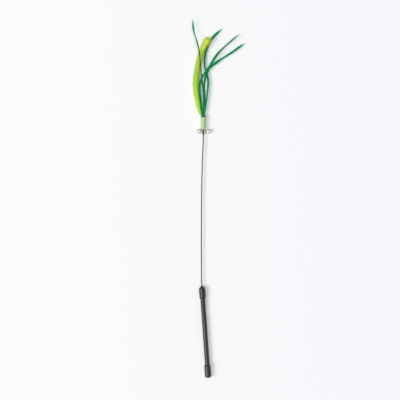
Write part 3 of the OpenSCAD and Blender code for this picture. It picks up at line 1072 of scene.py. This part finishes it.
@dataclass
class Sleeve:
    """Soft sleeve with a slanted mouth, its plug, the crimped collar under it and the thread
    wound round the roots inside."""

    foot_r: float = 3.45
    mouth_r: float = 4.3
    length: float = 21.6
    front: float = 17.6
    wall: float = 0.45
    foot_round: float = 0.5
    collar_y: float = -8.3
    collar_l: float = 1.7
    collar_r: float = 1.5
    squeeze: float = 0.1
    bore_r: float = 0.74
    binding_y: float = 8.0
    binding_l: float = 6.0
    thread_r: float = 0.13
    binding_r: float = 3.11
    sides: int = 120
    rows: int = 26

    def build(self) -> None:
        """Builds and dresses the sleeve's pieces."""
        self._sleeve()
        self._collar()
        self._binding()
        refined("sleeve_plug", PLUG_PVC, "head")

    def _sleeve(self) -> None:
        """Tapered wall, cut slantwise, with a round lip and a round foot."""
        slope = (self.length - self.front) / (2 * self.mouth_r)
        middle = (self.length + self.front) / 2
        lip = self.wall / 2
        rings = []
        for a in round_angles(self.sides):
            soft = 0.07 * math.sin(2 * a + 0.6) + 0.04 * math.sin(5 * a)
            top = middle - slope * self.mouth_r * math.sin(a) - lip + 0.1 * math.sin(3 * a + 1)
            high = np.linspace(self.foot_round, top, self.rows)
            grow = (high - self.foot_round) / (self.length - self.foot_round)
            out = self.foot_r + (self.mouth_r - self.foot_r) * grow + soft * grow**2
            foot = [(self.foot_r - self.foot_round * (1 - math.sin(t)), self.foot_round * (1 - math.cos(t)))
                    for t in np.linspace(0.2, math.pi / 2, 6)[:-1]]
            edge = [(out[-1] - lip + lip * math.cos(t), top + lip * math.sin(t))
                    for t in np.linspace(0, math.pi, 9)[1:-1]]
            outline = np.array([
                *foot, *zip(out, high), *edge,
                *zip(out[::-1] - self.wall, high[::-1]), (self.foot_r - self.wall, 0.06)])
            rings.append(np.stack([outline[:, 0] * math.cos(a), outline[:, 1],
                                   outline[:, 0] * math.sin(a)], -1))
        piece = Form("sleeve_soft").skin(np.array(rings), loop=True).make(HEAD, sharp=70)
        finish_piece(piece, SLEEVE_PVC, "head", "sleeve")

    def _collar(self) -> None:
        """Short metal tube that three jaws have squeezed onto the wire."""
        y, l, r = self.collar_y, self.collar_l, self.collar_r
        ends = rounded([(r, y, 0.3), (r, y + l, 0.3), (self.bore_r, y + l, 0.1), (self.bore_r, y, 0.1)])
        rings = turned(ends)
        squeeze = self.squeeze * np.maximum(0, np.cos(3 * round_angles(len(rings)))) ** 3
        outside = ends[:, 0] > (r + self.bore_r) / 2
        rings[..., [0, 2]] *= (1 - squeeze[:, None] * outside[None, :])[..., None]
        piece = Form("collar_crimped").skin(rings, loop=True).make(HEAD)
        finish_piece(piece, COLLAR_STEEL, "head", "stop_collar")

    def _binding(self) -> None:
        """Thread laid turn against turn over the roots."""
        turns = self.binding_l / (2 * self.thread_r) - 1
        t = np.linspace(0, 1, int(turns * 40))
        a = 2 * math.pi * turns * t
        y = self.binding_y + self.thread_r + (self.binding_l - 2 * self.thread_r) * t
        path = np.stack([self.binding_r * np.cos(a), y, self.binding_r * np.sin(a)], -1)
        piece = RoundStock.along("binding_wound", path, self.thread_r, THREAD, 6, place=HEAD)
        finish_piece(piece, THREAD, "head", "root_binding")


@dataclass
class Blade:
    """One blade of artificial grass: a twisted strip with a shallow fold down its middle."""

    node: str
    route: Route
    width: float
    film: LeafFilm
    thick: float = 0.35
    root_w: float = 0.54
    root_share: float = 0.25
    tip_share: float = 0.12
    tip_w: float = 0.12
    tip_curve: float = 0.8
    tip_thin: float = 0.5
    root_fold: float = 0.24
    tip_fold: float = 0.08
    rings: int = 260
    edge_wave: float = 0.05
    edge_wave_mm: float = 2.9
    # Points across the strip from the fold to an edge, as shares of its half width
    stations: tuple[float, ...] = (0, 0.09, 0.26, 0.52, 0.78, 0.94, 1)

    def _share_of_width(self, t: Points) -> Points:
        """Width at each share of the length, as a share of the widest."""
        swell = self.root_w + (1 - self.root_w) * ease(t / self.root_share)
        tip = np.clip((1 - t) / self.tip_share, 0, 1) ** self.tip_curve
        return swell * np.maximum(self.tip_w, tip)

    def build(self) -> None:
        """Builds and dresses the blade."""
        t = np.linspace(0, 1, self.rings + 1)
        at = self.route.on(t)
        along, level, up = self.route.frames(t)
        twist = np.radians(at[:, 3])[:, None]
        right = np.cos(twist) * level + np.sin(twist) * up
        out = np.cross(right, along)
        share = self._share_of_width(t)
        half = self.width * share / 2
        dip = half * (self.root_fold + (self.tip_fold - self.root_fold) * t)
        skin = self.thick / 2 * np.maximum(self.tip_thin, share)
        half_side = np.array(self.stations)
        side = np.concatenate([-half_side[::-1], half_side[1:]])
        fold = 2 * np.sqrt(side**2 + 0.004) - 1
        body = np.sqrt(np.clip(1 - np.abs(side) ** 5, 0, 1))
        rib = 0.35 * np.exp(-((side / 0.1) ** 2))
        across = np.concatenate([side, side[-2:0:-1]])
        rise = np.concatenate([fold, fold[-2:0:-1]])
        skin_at = np.concatenate([body * (1 - 0.4 * rib), (-body * (1 + rib))[-2:0:-1]])
        length = travelled(at[:, :3])
        swing = self.edge_wave * np.sin(length / self.edge_wave_mm + self.width)
        wave = swing[:, None] * across[None, :] ** 3
        high = dip[:, None] * rise[None, :] + skin[:, None] * skin_at[None, :] + wave * share[:, None]
        rings = (at[:, None, :3] + (half[:, None] * across[None, :])[..., None] * right[:, None, :]
                 + high[..., None] * out[:, None, :])
        flat = np.stack(np.broadcast_arrays(across[None, :] * self.width / 2, length[:, None]), -1)
        piece = Form(self.node + "_embossed").skin(rings, flat=flat).make(HEAD, sharp=75)
        finish_piece(piece, self.film, "head", self.node)


TALL_ROUTE = Route((
    (0, 8, -1.6, 0), (0.1, 20, -1.8, -20), (0.4, 38, -1.9, -30), (0, 55, -1.7, -42),
    (-1.3, 67, -1.2, -58), (-2.4, 77, -0.2, -62), (-3.5, 86, 2.8, -68), (-4.6, 96, 5.6, -66),
    (-5, 104, 6.6, -60), (-5.6, 112, 6.4, -50), (-7.3, 121, 5.4, -50), (-9.2, 130, 4.6, -45),
    (-12, 139, 3.8, -60), (-14.4, 148, 3.2, -40), (-15.1, 156, 2.6, -12), (-15.2, 165, 2, 0)))
UPPER_ROUTE = Route((
    (1.6, 8, 0, 80), (1.9, 18, 0, 66), (3.2, 30, -0.3, 50), (4.9, 43, -0.5, 48),
    (6.2, 55, -0.7, 51), (7.3, 66, -0.9, 40), (7.3, 75, -1.3, 42), (5.4, 83.5, -1.9, 48),
    (2.8, 91.5, -2.1, 52), (2.2, 101, -2.2, 46), (3.2, 111, -2.3, 40), (5.3, 119.5, -2.6, 36),
    (8, 126, -2.9, 44), (10.8, 132.3, -3, 42), (15.5, 138.2, -2.7, 10), (20.2, 143.2, -2.3, 0),
    (24.4, 147, -2, 0), (28.3, 150.1, -1.6, 0)))
MIDDLE_ROUTE = Route((
    (-1.6, 8, 0.3, -80), (-1.4, 18, 0.8, -65), (-2.5, 30, 1.4, -32), (-4.1, 43.5, 1.9, -38),
    (-5.6, 55, 2.2, -34), (-5.2, 67, 2.6, -34), (-2.4, 76.5, 4, -40), (1.7, 82.5, 4.6, -42),
    (8, 91.4, 4.6, -42), (13.8, 100.6, 4.2, -22), (20.6, 111, 3.9, -30), (28.9, 120.1, 4.1, -58),
    (39.5, 129.4, 4.2, -60), (48.2, 136.8, 3.8, -44), (55.1, 141.6, 3.2, -44)))
RIGHT_ROUTE = Route((
    (0, 8, 1.6, 0), (0.6, 20, 1.7, -20), (1.4, 36, 1.8, -32), (1.5, 52, 1.8, -32),
    (1.2, 66, 1.7, -38), (3.3, 77.5, 1.5, -30), (6.2, 86, 1.1, -28), (10.3, 92.6, 1, -18),
    (18, 98.5, 1.1, -16), (27.6, 105.2, 1.2, -52), (38.4, 111.9, 1.1, -46),
    (47.8, 118.1, 0.9, -42), (56.7, 124.7, 0.7, -30), (61, 127.8, 0.6, -24)))
PLUME_ROUTE = Route((
    (-1.75, 8, -1.65, 1.2), (-1.95, 14, -1.45, 1.4), (-2.85, 20.3, -1.4, 1.7),
    (-4.7, 25, -1.25, 2.1), (-6.6, 31, -1.1, 2.8), (-8.1, 41, -0.8, 3.5),
    (-10.1, 54, -0.5, 4), (-11.1, 66, -0.3, 4.1), (-10.5, 78, -0.2, 4),
    (-8.7, 89, -0.1, 4), (-6.6, 99, 0.1, 4.1), (-4.3, 109, 0.6, 3.9), (-1.8, 117, 1.4, 3.7),
    (2.2, 125.5, 2.4, 4.7), (6.3, 132, 3, 6.1), (8.4, 137.4, 3.2, 5.1)))


@dataclass
class Plume:
    """Foxtail plume: thousands of fibres that stand out from a twisted wire core."""

    core_r: float = 0.5
    core_pitch: float = 2.4
    core_to: float = 0.985
    pile_from: float = 0.155
    pile_to: float = 0.95
    fibres: int = 15600
    fibre_r: float = 0.085
    shortest: float = 0.76
    longest: float = 1.32
    rows_mm: float = 2.4
    parts: int = 3
    lean_deg: float = 24.0
    pull: float = 0.28
    seed: int = 11
    # Share of the length where the fibres start to fan out, and where they do fully
    fan: tuple[float, float] = (0.9, 0.955)
    tuft_mm: float = 2.6
    root_mm: float = 0.2
    # What differs from fibre to fibre, in the order of the seeds: its least and its most
    chances: tuple[tuple[str, float, float], ...] = (
        ("slip", -0.004, 0.004), ("strand", 0.0, 1.999), ("wide", -1.25, 1.25), ("narrow", -0.5, 0.5),
        ("lean", -0.22, 0.22), ("fan", 0.0, 1.0), ("span", 0.0, 1.0), ("shade", 0.0, 1.0))
    # The bed's radius as a share of the pile's, how far its ends round off, and its mesh
    bed_share: float = 0.68
    bed_to: float = 0.96
    bed_round: float = 4.5
    bed_rings: int = 420
    bed_sides: int = 36

    def build(self) -> None:
        """Builds the core's two strands and the pile."""
        self._core()
        self._bed()
        self._pile()

    def _bed(self) -> None:
        """The crowded roots of the fibres, too close to tell apart: a tufted roll round the core."""
        t = np.linspace(self.pile_from, self.bed_to, self.bed_rings)
        at = PLUME_ROUTE.on(t)
        _, level, up = PLUME_ROUTE.frames(t)
        length = travelled(at[:, :3])
        ends = np.clip(np.minimum(length, length[-1] - length) / self.bed_round, 0, 1)
        radius = at[:, 3] * self.bed_share * np.sqrt(1 - (1 - ends) ** 2 + 0.001)
        angle = round_angles(self.bed_sides)
        turn = 2 * math.pi * length[:, None] / (2 * self.rows_mm) - angle[None, :]
        chance = np.random.default_rng(self.seed)
        tufts = 1 + 0.05 * np.cos(2 * turn) + chance.uniform(-0.09, 0.09, turn.shape)
        out = (np.cos(angle)[None, :, None] * level[:, None] + np.sin(angle)[None, :, None] * up[:, None])
        rings = at[:, None, :3] + (radius[:, None] * tufts)[..., None] * out
        piece = Form("plume_bed").skin(rings).make(HEAD)
        share = np.repeat((t - self.pile_from) / (self.pile_to - self.pile_from), self.bed_sides)
        self._note(piece, "along", np.clip(share, 0, 1))
        self._note(piece, "shade", 0 * share)
        finish_piece(piece, PILE_NYLON, "head", "plume_pile")

    def _note(self, piece: bpy.types.Object, label: str, values: Points) -> None:
        """Keeps a number at each point of a piece as an attribute."""
        note = piece.data.attributes.new(label, "FLOAT", "POINT")
        note.data.foreach_set("value", values.astype(np.float32))

    def _core(self) -> None:
        """Two strands of wire, twisted together."""
        t = np.linspace(0.0, self.core_to, 700)
        at = PLUME_ROUTE.on(t)[:, :3]
        _, level, up = PLUME_ROUTE.frames(t)
        length = travelled(at)
        for i in range(2):
            a = (2 * math.pi * length / self.core_pitch + math.pi * i)[:, None]
            path = at + self.core_r / 2 * (np.cos(a) * level + np.sin(a) * up)
            strand = RoundStock.along(f"core_strand_{i + 1}", path, self.core_r / 2, CORE_WIRE, 6, HEAD)
            finish_piece(strand, CORE_WIRE, "head", "plume_core")

    def _tree(self) -> Tree:
        """Builds the tree: fibres set in a double helix along the core, bent towards the tip."""
        tree, start = new_tree("foxtail_pile", [
            ("Fibres", "NodeSocketInt", 100), ("From", "NodeSocketFloat", 0.0),
            ("To", "NodeSocketFloat", 1.0), ("Fibre Radius", "NodeSocketFloat", 0.00008),
            ("Shortest", "NodeSocketFloat", 0.7), ("Longest", "NodeSocketFloat", 1.3),
            ("Turns", "NodeSocketFloat", 40.0), ("Lean", "NodeSocketFloat", 0.4),
            ("Pull", "NodeSocketFloat", 0.3), ("Floor", "NodeSocketFloat", -0.005),
            ("Seed", "NodeSocketInt", 1), ("Finish", "NodeSocketMaterial", None)])
        given = start.outputs
        chance: dict[str, bpy.types.NodeSocket] = {}
        for offset, (label, low, high) in enumerate(self.chances, 1):
            seed = add_node(tree, "ShaderNodeMath", {0: given["Seed"], 1: float(offset)}, operation="ADD")
            chance[label] = add_node(tree, "FunctionNodeRandomValue", {
                2: low, 3: high, "Seed": seed}, data_type="FLOAT").outputs[1]

        # Each fibre's place along the core
        curve = add_node(tree, "GeometryNodeMeshToCurve", {"Mesh": given["Line"]})
        index = add_node(tree, "GeometryNodeInputIndex")
        own = add_node(tree, "ShaderNodeMath", {0: index, 1: 0.5}, operation="ADD")
        share = add_node(tree, "ShaderNodeMath", {0: own, 1: given["Fibres"]}, operation="DIVIDE")
        part = add_node(tree, "ShaderNodeMath", {0: given["To"], 1: given["From"]}, operation="SUBTRACT")
        even = add_node(tree, "ShaderNodeMath", {
            0: part, 1: share, 2: given["From"]}, operation="MULTIPLY_ADD")
        way = add_node(tree, "ShaderNodeMath", {
            0: even, 1: chance["slip"]}, operation="ADD", use_clamp=True)
        pile = add_node(tree, "GeometryNodeInputNamedAttribute", {"Name": "pile"}, data_type="FLOAT")
        sample = add_node(tree, "GeometryNodeSampleCurve", {
            "Curves": curve, "Value": pile, "Factor": way}, data_type="FLOAT", mode="FACTOR")
        reach, place, along, normal = (
            sample.outputs[key] for key in ("Value", "Position", "Tangent", "Normal"))

        # Where it stands out: in two rows that wind round the core, fanned out at the tip
        side = add_node(tree, "ShaderNodeVectorMath", {0: along, 1: normal}, operation="CROSS_PRODUCT")
        turns = add_node(tree, "ShaderNodeMath", {0: way, 1: given["Turns"]}, operation="MULTIPLY")
        strand = add_node(tree, "ShaderNodeMath", {0: chance["strand"]}, operation="FLOOR")
        spread = add_node(tree, "ShaderNodeMath", {
            0: chance["wide"], 1: chance["narrow"]}, operation="ADD")
        row = add_node(tree, "ShaderNodeMath", {
            0: strand, 1: math.pi, 2: spread}, operation="MULTIPLY_ADD")
        angle = add_node(tree, "ShaderNodeMath", {
            0: turns, 1: 2 * math.pi, 2: row}, operation="MULTIPLY_ADD")
        out = self._swung(tree, normal, side, angle)
        fan = add_node(tree, "ShaderNodeMapRange", {
            "Value": way, "From Min": self.fan[0], "From Max": self.fan[1]},
            interpolation_type="SMOOTHSTEP")
        unfan = add_node(tree, "ShaderNodeMath", {0: 1.0, 1: fan}, operation="SUBTRACT")
        lean = add_node(tree, "ShaderNodeMath", {0: given["Lean"], 1: chance["lean"]}, operation="ADD")
        wide = add_node(tree, "ShaderNodeMath", {0: chance["fan"]}, operation="ARCSINE")
        fanned = add_node(tree, "ShaderNodeMath", {0: fan, 1: wide}, operation="MULTIPLY")
        tilt = add_node(tree, "ShaderNodeMath", {0: unfan, 1: lean, 2: fanned}, operation="MULTIPLY_ADD")
        heading = self._swung(tree, out, along, tilt)

        # How long it is, with its neighbours in tufts
        beyond = add_node(tree, "ShaderNodeVectorMath", {0: out, "Scale": reach}, operation="SCALE")
        rim = add_node(tree, "ShaderNodeVectorMath", {0: place, 1: beyond}, operation="ADD")
        tuft = add_node(tree, "ShaderNodeTexNoise", {
            "Vector": rim, "Scale": PER_MM / self.tuft_mm, "Detail": 1.0})
        clump = add_node(tree, "ShaderNodeMapRange", {
            "Value": tuft, "From Min": 0.3, "From Max": 0.7, "To Min": 1.06, "To Max": 0.9})
        skewed = add_node(tree, "ShaderNodeMath", {0: chance["span"], 1: 1.2}, operation="POWER")
        span = add_node(tree, "ShaderNodeMapRange", {
            "Value": skewed, "To Min": given["Shortest"], "To Max": given["Longest"]})
        lean_cos = add_node(tree, "ShaderNodeMath", {0: given["Lean"]}, operation="COSINE")
        upright = add_node(tree, "ShaderNodeMath", {
            0: unfan, 1: lean_cos, 2: fan}, operation="MULTIPLY_ADD")
        full = add_node(tree, "ShaderNodeMath", {0: reach, 1: span}, operation="MULTIPLY")
        tufted = add_node(tree, "ShaderNodeMath", {0: full, 1: clump}, operation="MULTIPLY")
        length = add_node(tree, "ShaderNodeMath", {0: tufted, 1: upright}, operation="DIVIDE")

        # The points that carry the fibres, and what each fibre is told
        points = add_node(tree, "GeometryNodePoints", {"Count": given["Fibres"]})
        clear = add_node(tree, "ShaderNodeVectorMath", {
            0: out, "Scale": self.root_mm * MM}, operation="SCALE")
        seat = add_node(tree, "ShaderNodeVectorMath", {0: place, 1: clear}, operation="ADD")
        seated = add_node(tree, "GeometryNodeSetPosition", {"Geometry": points, "Position": seat})
        # Painted shade: fibres in the shorter tufts, where the pile has gaps, are darkened towards olive,
        # on top of a random darkening from fibre to fibre.
        gap_shade = add_node(tree, "ShaderNodeMath", {0: tuft, 1: 0.75}, operation="MULTIPLY")
        dark = add_node(tree, "ShaderNodeMath", {
            0: chance["shade"], 1: 0.55, 2: gap_shade}, operation="MULTIPLY_ADD")
        bend = add_node(tree, "ShaderNodeMath", {0: length, 1: unfan}, operation="MULTIPLY")
        tug = add_node(tree, "ShaderNodeMath", {0: bend, 1: given["Pull"]}, operation="MULTIPLY")
        pull = add_node(tree, "ShaderNodeVectorMath", {0: along, "Scale": tug}, operation="SCALE")
        for label, kind, value in (
                ("along", "FLOAT", way), ("shade", "FLOAT", dark), ("pull", "FLOAT_VECTOR", pull)):
            seated = add_node(tree, "GeometryNodeStoreNamedAttribute", {
                "Geometry": seated, "Name": label, "Value": value}, data_type=kind, domain="POINT")

        # One fibre, set on every point
        fibre = add_node(tree, "GeometryNodeMeshCone", {
            "Vertices": 3, "Side Segments": 3, "Radius Top": 0.45, "Radius Bottom": 1.0, "Depth": 1.0})
        here = add_node(tree, "GeometryNodeInputPosition")
        high = add_node(tree, "ShaderNodeSeparateXYZ", {"Vector": here}).outputs["Z"]
        marked = add_node(tree, "GeometryNodeStoreNamedAttribute", {
            "Geometry": fibre, "Name": "height", "Value": high}, data_type="FLOAT", domain="POINT")
        aim = add_node(tree, "FunctionNodeAxesToRotation", {
            "Primary Axis": heading, "Secondary Axis": along}, primary_axis="Z", secondary_axis="X")
        size = add_node(tree, "ShaderNodeCombineXYZ", {
            "X": given["Fibre Radius"], "Y": given["Fibre Radius"], "Z": length})
        set_in = add_node(tree, "GeometryNodeInstanceOnPoints", {
            "Points": seated, "Instance": marked, "Rotation": aim, "Scale": size})
        solid = add_node(tree, "GeometryNodeRealizeInstances", {"Geometry": set_in})

        # Bent towards the tip, and kept above the floor
        height = add_node(tree, "GeometryNodeInputNamedAttribute", {"Name": "height"}, data_type="FLOAT")
        drag = add_node(tree, "GeometryNodeInputNamedAttribute", {"Name": "pull"}, data_type="FLOAT_VECTOR")
        bow = add_node(tree, "ShaderNodeMath", {0: height, 1: 2.0}, operation="POWER")
        shift = add_node(tree, "ShaderNodeVectorMath", {0: drag, "Scale": bow}, operation="SCALE")
        bent = add_node(tree, "GeometryNodeSetPosition", {"Geometry": solid, "Offset": shift})
        split = add_node(tree, "ShaderNodeSeparateXYZ", {"Vector": here}).outputs
        held = add_node(tree, "ShaderNodeMath", {
            0: split["Z"], 1: given["Floor"]}, operation="MAXIMUM")
        lifted = add_node(tree, "ShaderNodeCombineXYZ", {"X": split["X"], "Y": split["Y"], "Z": held})
        laid = add_node(tree, "GeometryNodeSetPosition", {"Geometry": bent, "Position": lifted})
        smooth = add_node(tree, "GeometryNodeSetShadeSmooth", {"Geometry": laid})
        dressed = add_node(tree, "GeometryNodeSetMaterial", {
            "Geometry": smooth, "Material": given["Finish"]})
        add_node(tree, "NodeGroupOutput", {0: dressed})
        return tree

    def _swung(self, tree: Tree, first: Any, second: Any, angle: bpy.types.Node) -> bpy.types.Node:
        """Adds the nodes that swing one direction towards another.

        Args:
            tree: the tree to add to.
            first: direction at no angle.
            second: direction at a right angle to it.
            angle: how far to swing, in radians.

        Returns:
            The node whose first output is the direction.
        """
        parts = []
        for direction, operation in ((first, "COSINE"), (second, "SINE")):
            share = add_node(tree, "ShaderNodeMath", {0: angle}, operation=operation)
            parts.append(add_node(tree, "ShaderNodeVectorMath", {
                0: direction, "Scale": share}, operation="SCALE"))
        return add_node(tree, "ShaderNodeVectorMath", {0: parts[0], 1: parts[1]}, operation="ADD")

    def _pile(self) -> None:
        """The fibres, in a few pieces from the sleeve to the tip."""
        tree = self._tree()
        t = np.linspace(self.pile_from, self.pile_to, 260)
        at = PLUME_ROUTE.on(t)
        path = placed(at[:, :3], HEAD)
        turns = float(travelled(path)[-1]) / self.rows_mm / 2
        for i in range(self.parts):
            line = polyline(f"plume_fibres_{i + 1}", path)
            self._note(line, "pile", at[:, 3] * MM)
            piece = with_tree(line, tree, {
                "Fibres": self.fibres // self.parts, "From": i / self.parts, "To": (i + 1) / self.parts,
                "Fibre Radius": self.fibre_r * MM, "Shortest": self.shortest, "Longest": self.longest,
                "Turns": turns, "Lean": math.radians(self.lean_deg),
                "Pull": self.pull, "Floor": (FLOOR_Z + 0.05) * MM, "Seed": self.seed + 100 * i,
                "Finish": PILE_NYLON.made()})
            finish_piece(piece, PILE_NYLON, "head", "plume_pile")


@dataclass
class Ring:
    """Brass wire ring that hangs on the wand's wire and carries both bells."""

    x: float = 0.7
    y: float = -3.7
    mean_r: float = 2.6
    wire_r: float = 0.375
    slant_deg: float = 30.0
    gap_deg: float = 3.0
    gap_at_deg: float = 62.0

    def frame(self) -> Matrix:
        """The ring's own plane."""
        return HEAD @ Matrix.Translation((self.x, self.y, 0)) @ Matrix.Rotation(
            math.radians(self.slant_deg), 4, "X")

    def build(self) -> None:
        """Builds the ring with the fine gap where its ends meet."""
        half = math.radians(self.gap_deg / 2)
        start = math.radians(self.gap_at_deg)
        a = np.linspace(start + half, start + 2 * math.pi - half, 120)
        path = np.stack([self.mean_r * np.cos(a), self.mean_r * np.sin(a), 0 * a], -1)
        piece = RoundStock.along("ring_split", path, self.wire_r, RING_BRASS, 16, place=self.frame())
        finish_piece(piece, RING_BRASS, "ring", "bell_ring")


@dataclass
class JingleBell:
    """Bell of two pressed halves with a rolled seam, a wire loop and a loose pellet."""

    side: Side
    ring: Ring
    shell_r: float = 3.65
    wall: float = 0.35
    seam_r: float = 3.8
    seam_h: float = 0.3
    drop_deg: float = 14.0
    loop_r: float = 0.9
    loop_wire_r: float = 0.25
    leg: float = 1.3
    slot_w: float = 0.7
    slot_reach: float = 2.5
    slot_end_r: float = 0.7
    # Each half's eased edges, the gap between the halves and how far the seam laps inside
    edge: float = 0.06
    edge_deg: float = 55.0
    sharp_deg: float = 60.0
    seam_gap: float = 0.012
    seam_lap: float = 0.03
    rim_sides: int = 72
    shell_rows: int = 22

    @property
    def body(self) -> str:
        """The body that the bell rides on."""
        return self.side.name.lower() + "_bell"

    @property
    def reach(self) -> float:
        """From the bell's centre to the ring's wire."""
        return self.shell_r + self.loop_r - self.loop_wire_r

    def frame(self) -> Matrix:
        """The bell's centre, with +Z towards the ring."""
        sign = self.side.value
        return (self.ring.frame() @ Matrix.Translation((sign * self.ring.mean_r, 0, 0))
                @ Matrix.Rotation(math.radians(-sign * (90 - self.drop_deg)), 4, "Y")
                @ Matrix.Translation((0, 0, -self.reach)))

    def build(self) -> None:
        """Builds and dresses the bell."""
        place = self.frame()
        for name, sign in (("dome", 1), ("cup", -1)):
            form = Form(f"{self.body}_{name}_pressed")
            self._half(form, sign)
            piece = form.make(place, sharp=50)
            bevel = piece.modifiers.new("eased_edges", "BEVEL")
            bevel.width = self.edge * MM
            bevel.segments = 2
            bevel.limit_method = "ANGLE"
            bevel.angle_limit = math.radians(self.edge_deg)
            plain_mesh(piece)
            piece.data.set_sharp_from_angle(angle=math.radians(self.sharp_deg))
            finish_piece(piece, BELL_NICKEL, self.body, f"{self.body}_{name}")
        self._loop(place)
        refined(f"{self.body}_pellet", SHOT_STEEL, self.side.name.lower() + "_pellet")

    def _half(self, form: Form, sign: int) -> None:
        """One pressed half, with the slots where it is the lower one.

        Args:
            form: what the half is added to.
            sign: 1 for the upper half and -1 for the lower.
        """
        holes = [self._slot_outline()] if sign < 0 else []
        rim = round_angles(self.rim_sides)
        loops = [np.stack([np.cos(rim), np.sin(rim)], -1) * math.pi / 2, *holes]
        polar = [np.array([(0.0, 0.0)])]
        for k in range(1, self.shell_rows):
            r = math.pi / 2 * k / self.shell_rows
            count = max(6, round(self.rim_sides * math.sin(r)))
            a = round_angles(count) + 0.5 * (k % 2) * 2 * math.pi / count
            polar.append(np.stack([r * np.cos(a), r * np.sin(a)], -1))
        points = np.concatenate([*loops, *polar])
        edges: list[tuple[int, int]] = []
        for loop in loops:
            base, n = len(edges), len(loop)
            edges += [(base + i, base + (i + 1) % n) for i in range(n)]
        flat, _, faces, *_ = geometry.delaunay_2d_cdt(
            [Vector(p) for p in points], edges, [], 0, 1e-6)
        flat = np.array([tuple(p) for p in flat])
        kept = [f for f in faces if not any(self._inside(flat[list(f)].mean(0), h) for h in holes)]
        used = sorted({i for f in kept for i in f})
        order = {old: new for new, old in enumerate(used)}
        kept = [tuple(order[i] for i in f) for f in kept]
        flat = flat[used]
        theta = np.linalg.norm(flat, axis=1)
        phi = np.arctan2(flat[:, 1], flat[:, 0])
        ball = np.stack([np.sin(theta) * np.cos(phi), np.sin(theta) * np.sin(phi),
                         sign * np.cos(theta)], -1)
        count = len(ball)
        shell = np.concatenate([ball * self.shell_r, ball * (self.shell_r - self.wall)])
        walls = kept + [tuple(i + count for i in reversed(f)) for f in kept]
        sides = dict.fromkeys(pair for f in kept for pair in zip(f, f[1:] + f[:1]))
        walls += [(b, a, a + count, b + count) for a, b in sides if (b, a) not in sides]
        form.sheet(shell, walls)
        self._seam(form, sign)

    def _slot_outline(self) -> Points:
        """Cross slot with round ends, as polar distances from the bottom of the cup."""
        w, reach, r = self.slot_w / 2, self.slot_reach, self.slot_end_r
        neck = reach - math.sqrt(r * r - w * w)
        open_from = math.pi - math.asin(w / r)
        arc = np.linspace(-open_from, open_from, 17)
        arm = np.concatenate([
            [(x, -w) for x in np.linspace(w, neck, 6)[:-1]],
            np.stack([reach + r * np.cos(arc), r * np.sin(arc)], -1),
            [(x, w) for x in np.linspace(neck, w, 6)[1:-1]]])
        outline = []
        for i in range(4):
            a = math.radians(45 + 90 * i)
            turn = np.array([(math.cos(a), math.sin(a)), (-math.sin(a), math.cos(a))])
            outline.append(arm @ turn)
        plan = np.concatenate(outline)
        far = np.linalg.norm(plan, axis=1, keepdims=True)
        return plan / far * np.arcsin(np.clip(far / self.shell_r, 0, 1))

    def _inside(self, point: Points, outline: Points) -> bool:
        """Whether a point lies inside a closed outline."""
        x, y = point
        a, b = outline, np.roll(outline, -1, axis=0)
        spans = (a[:, 1] > y) != (b[:, 1] > y)
        rise = np.where(spans, b[:, 1] - a[:, 1], 1.0)
        cross = a[:, 0] + (y - a[:, 1]) * (b[:, 0] - a[:, 0]) / rise
        return bool(np.count_nonzero(spans & (x < cross)) % 2)

    def _seam(self, form: Form, sign: int) -> None:
        """The half's share of the rolled seam.

        Args:
            form: what the seam is added to.
            sign: 1 above the bell's middle and -1 below it.
        """
        inner = self.shell_r - self.wall + self.seam_lap
        outline = rounded([
            (inner, self.seam_gap, 0), (self.seam_r, self.seam_gap, 0.05), (self.seam_r, self.seam_h, 0.16),
            (self.shell_r - 0.08, self.seam_h + 0.05, 0), (inner, self.seam_h, 0)])
        rings = turned(outline)[..., [0, 2, 1]]
        rings[..., 2] *= sign
        form.skin(rings, loop=True)

    def _loop(self, place: Matrix) -> None:
        """Wire staple through the top of the dome."""
        a = np.linspace(0, math.pi, 25)
        legs = np.linspace(-self.leg, 0, 6)[:-1]
        path = np.concatenate([
            [(self.loop_r, 0, z) for z in legs],
            np.stack([self.loop_r * np.cos(a), 0 * a, self.loop_r * np.sin(a)], -1),
            [(-self.loop_r, 0, z) for z in legs[::-1]]]) + (0, 0, self.reach)
        piece = RoundStock.along(
            f"{self.body}_staple", path, self.loop_wire_r, BELL_NICKEL, 12, place=place)
        finish_piece(piece, BELL_NICKEL, self.body, f"{self.body}_loop")


def main() -> None:
    """Builds the object in order."""
    logging.basicConfig(level=logging.INFO, format="%(message)s")
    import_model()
    Studio().build()
    Handle().build()
    SpringWire().build()
    Sleeve().build()
    blades = (
        Blade("tall_blade", TALL_ROUTE, 3.1, LeafFilm(
            "green_pe_embossed_tall", base="#0B875A", dark="#046B45", tip="#2A9C76", length_mm=165),
            tip_share=0.08),
        Blade("upper_blade", UPPER_ROUTE, 4.0, LeafFilm()),
        Blade("middle_blade", MIDDLE_ROUTE, 4.0, LeafFilm()),
        Blade("right_blade", RIGHT_ROUTE, 4.0, LeafFilm()),
    )
    for blade in blades:
        blade.build()
    Plume().build()
    ring = Ring()
    ring.build()
    for side in Side:
        JingleBell(side, ring).build()
    bpy.context.view_layer.update()


if __name__ == "__main__":
    main()
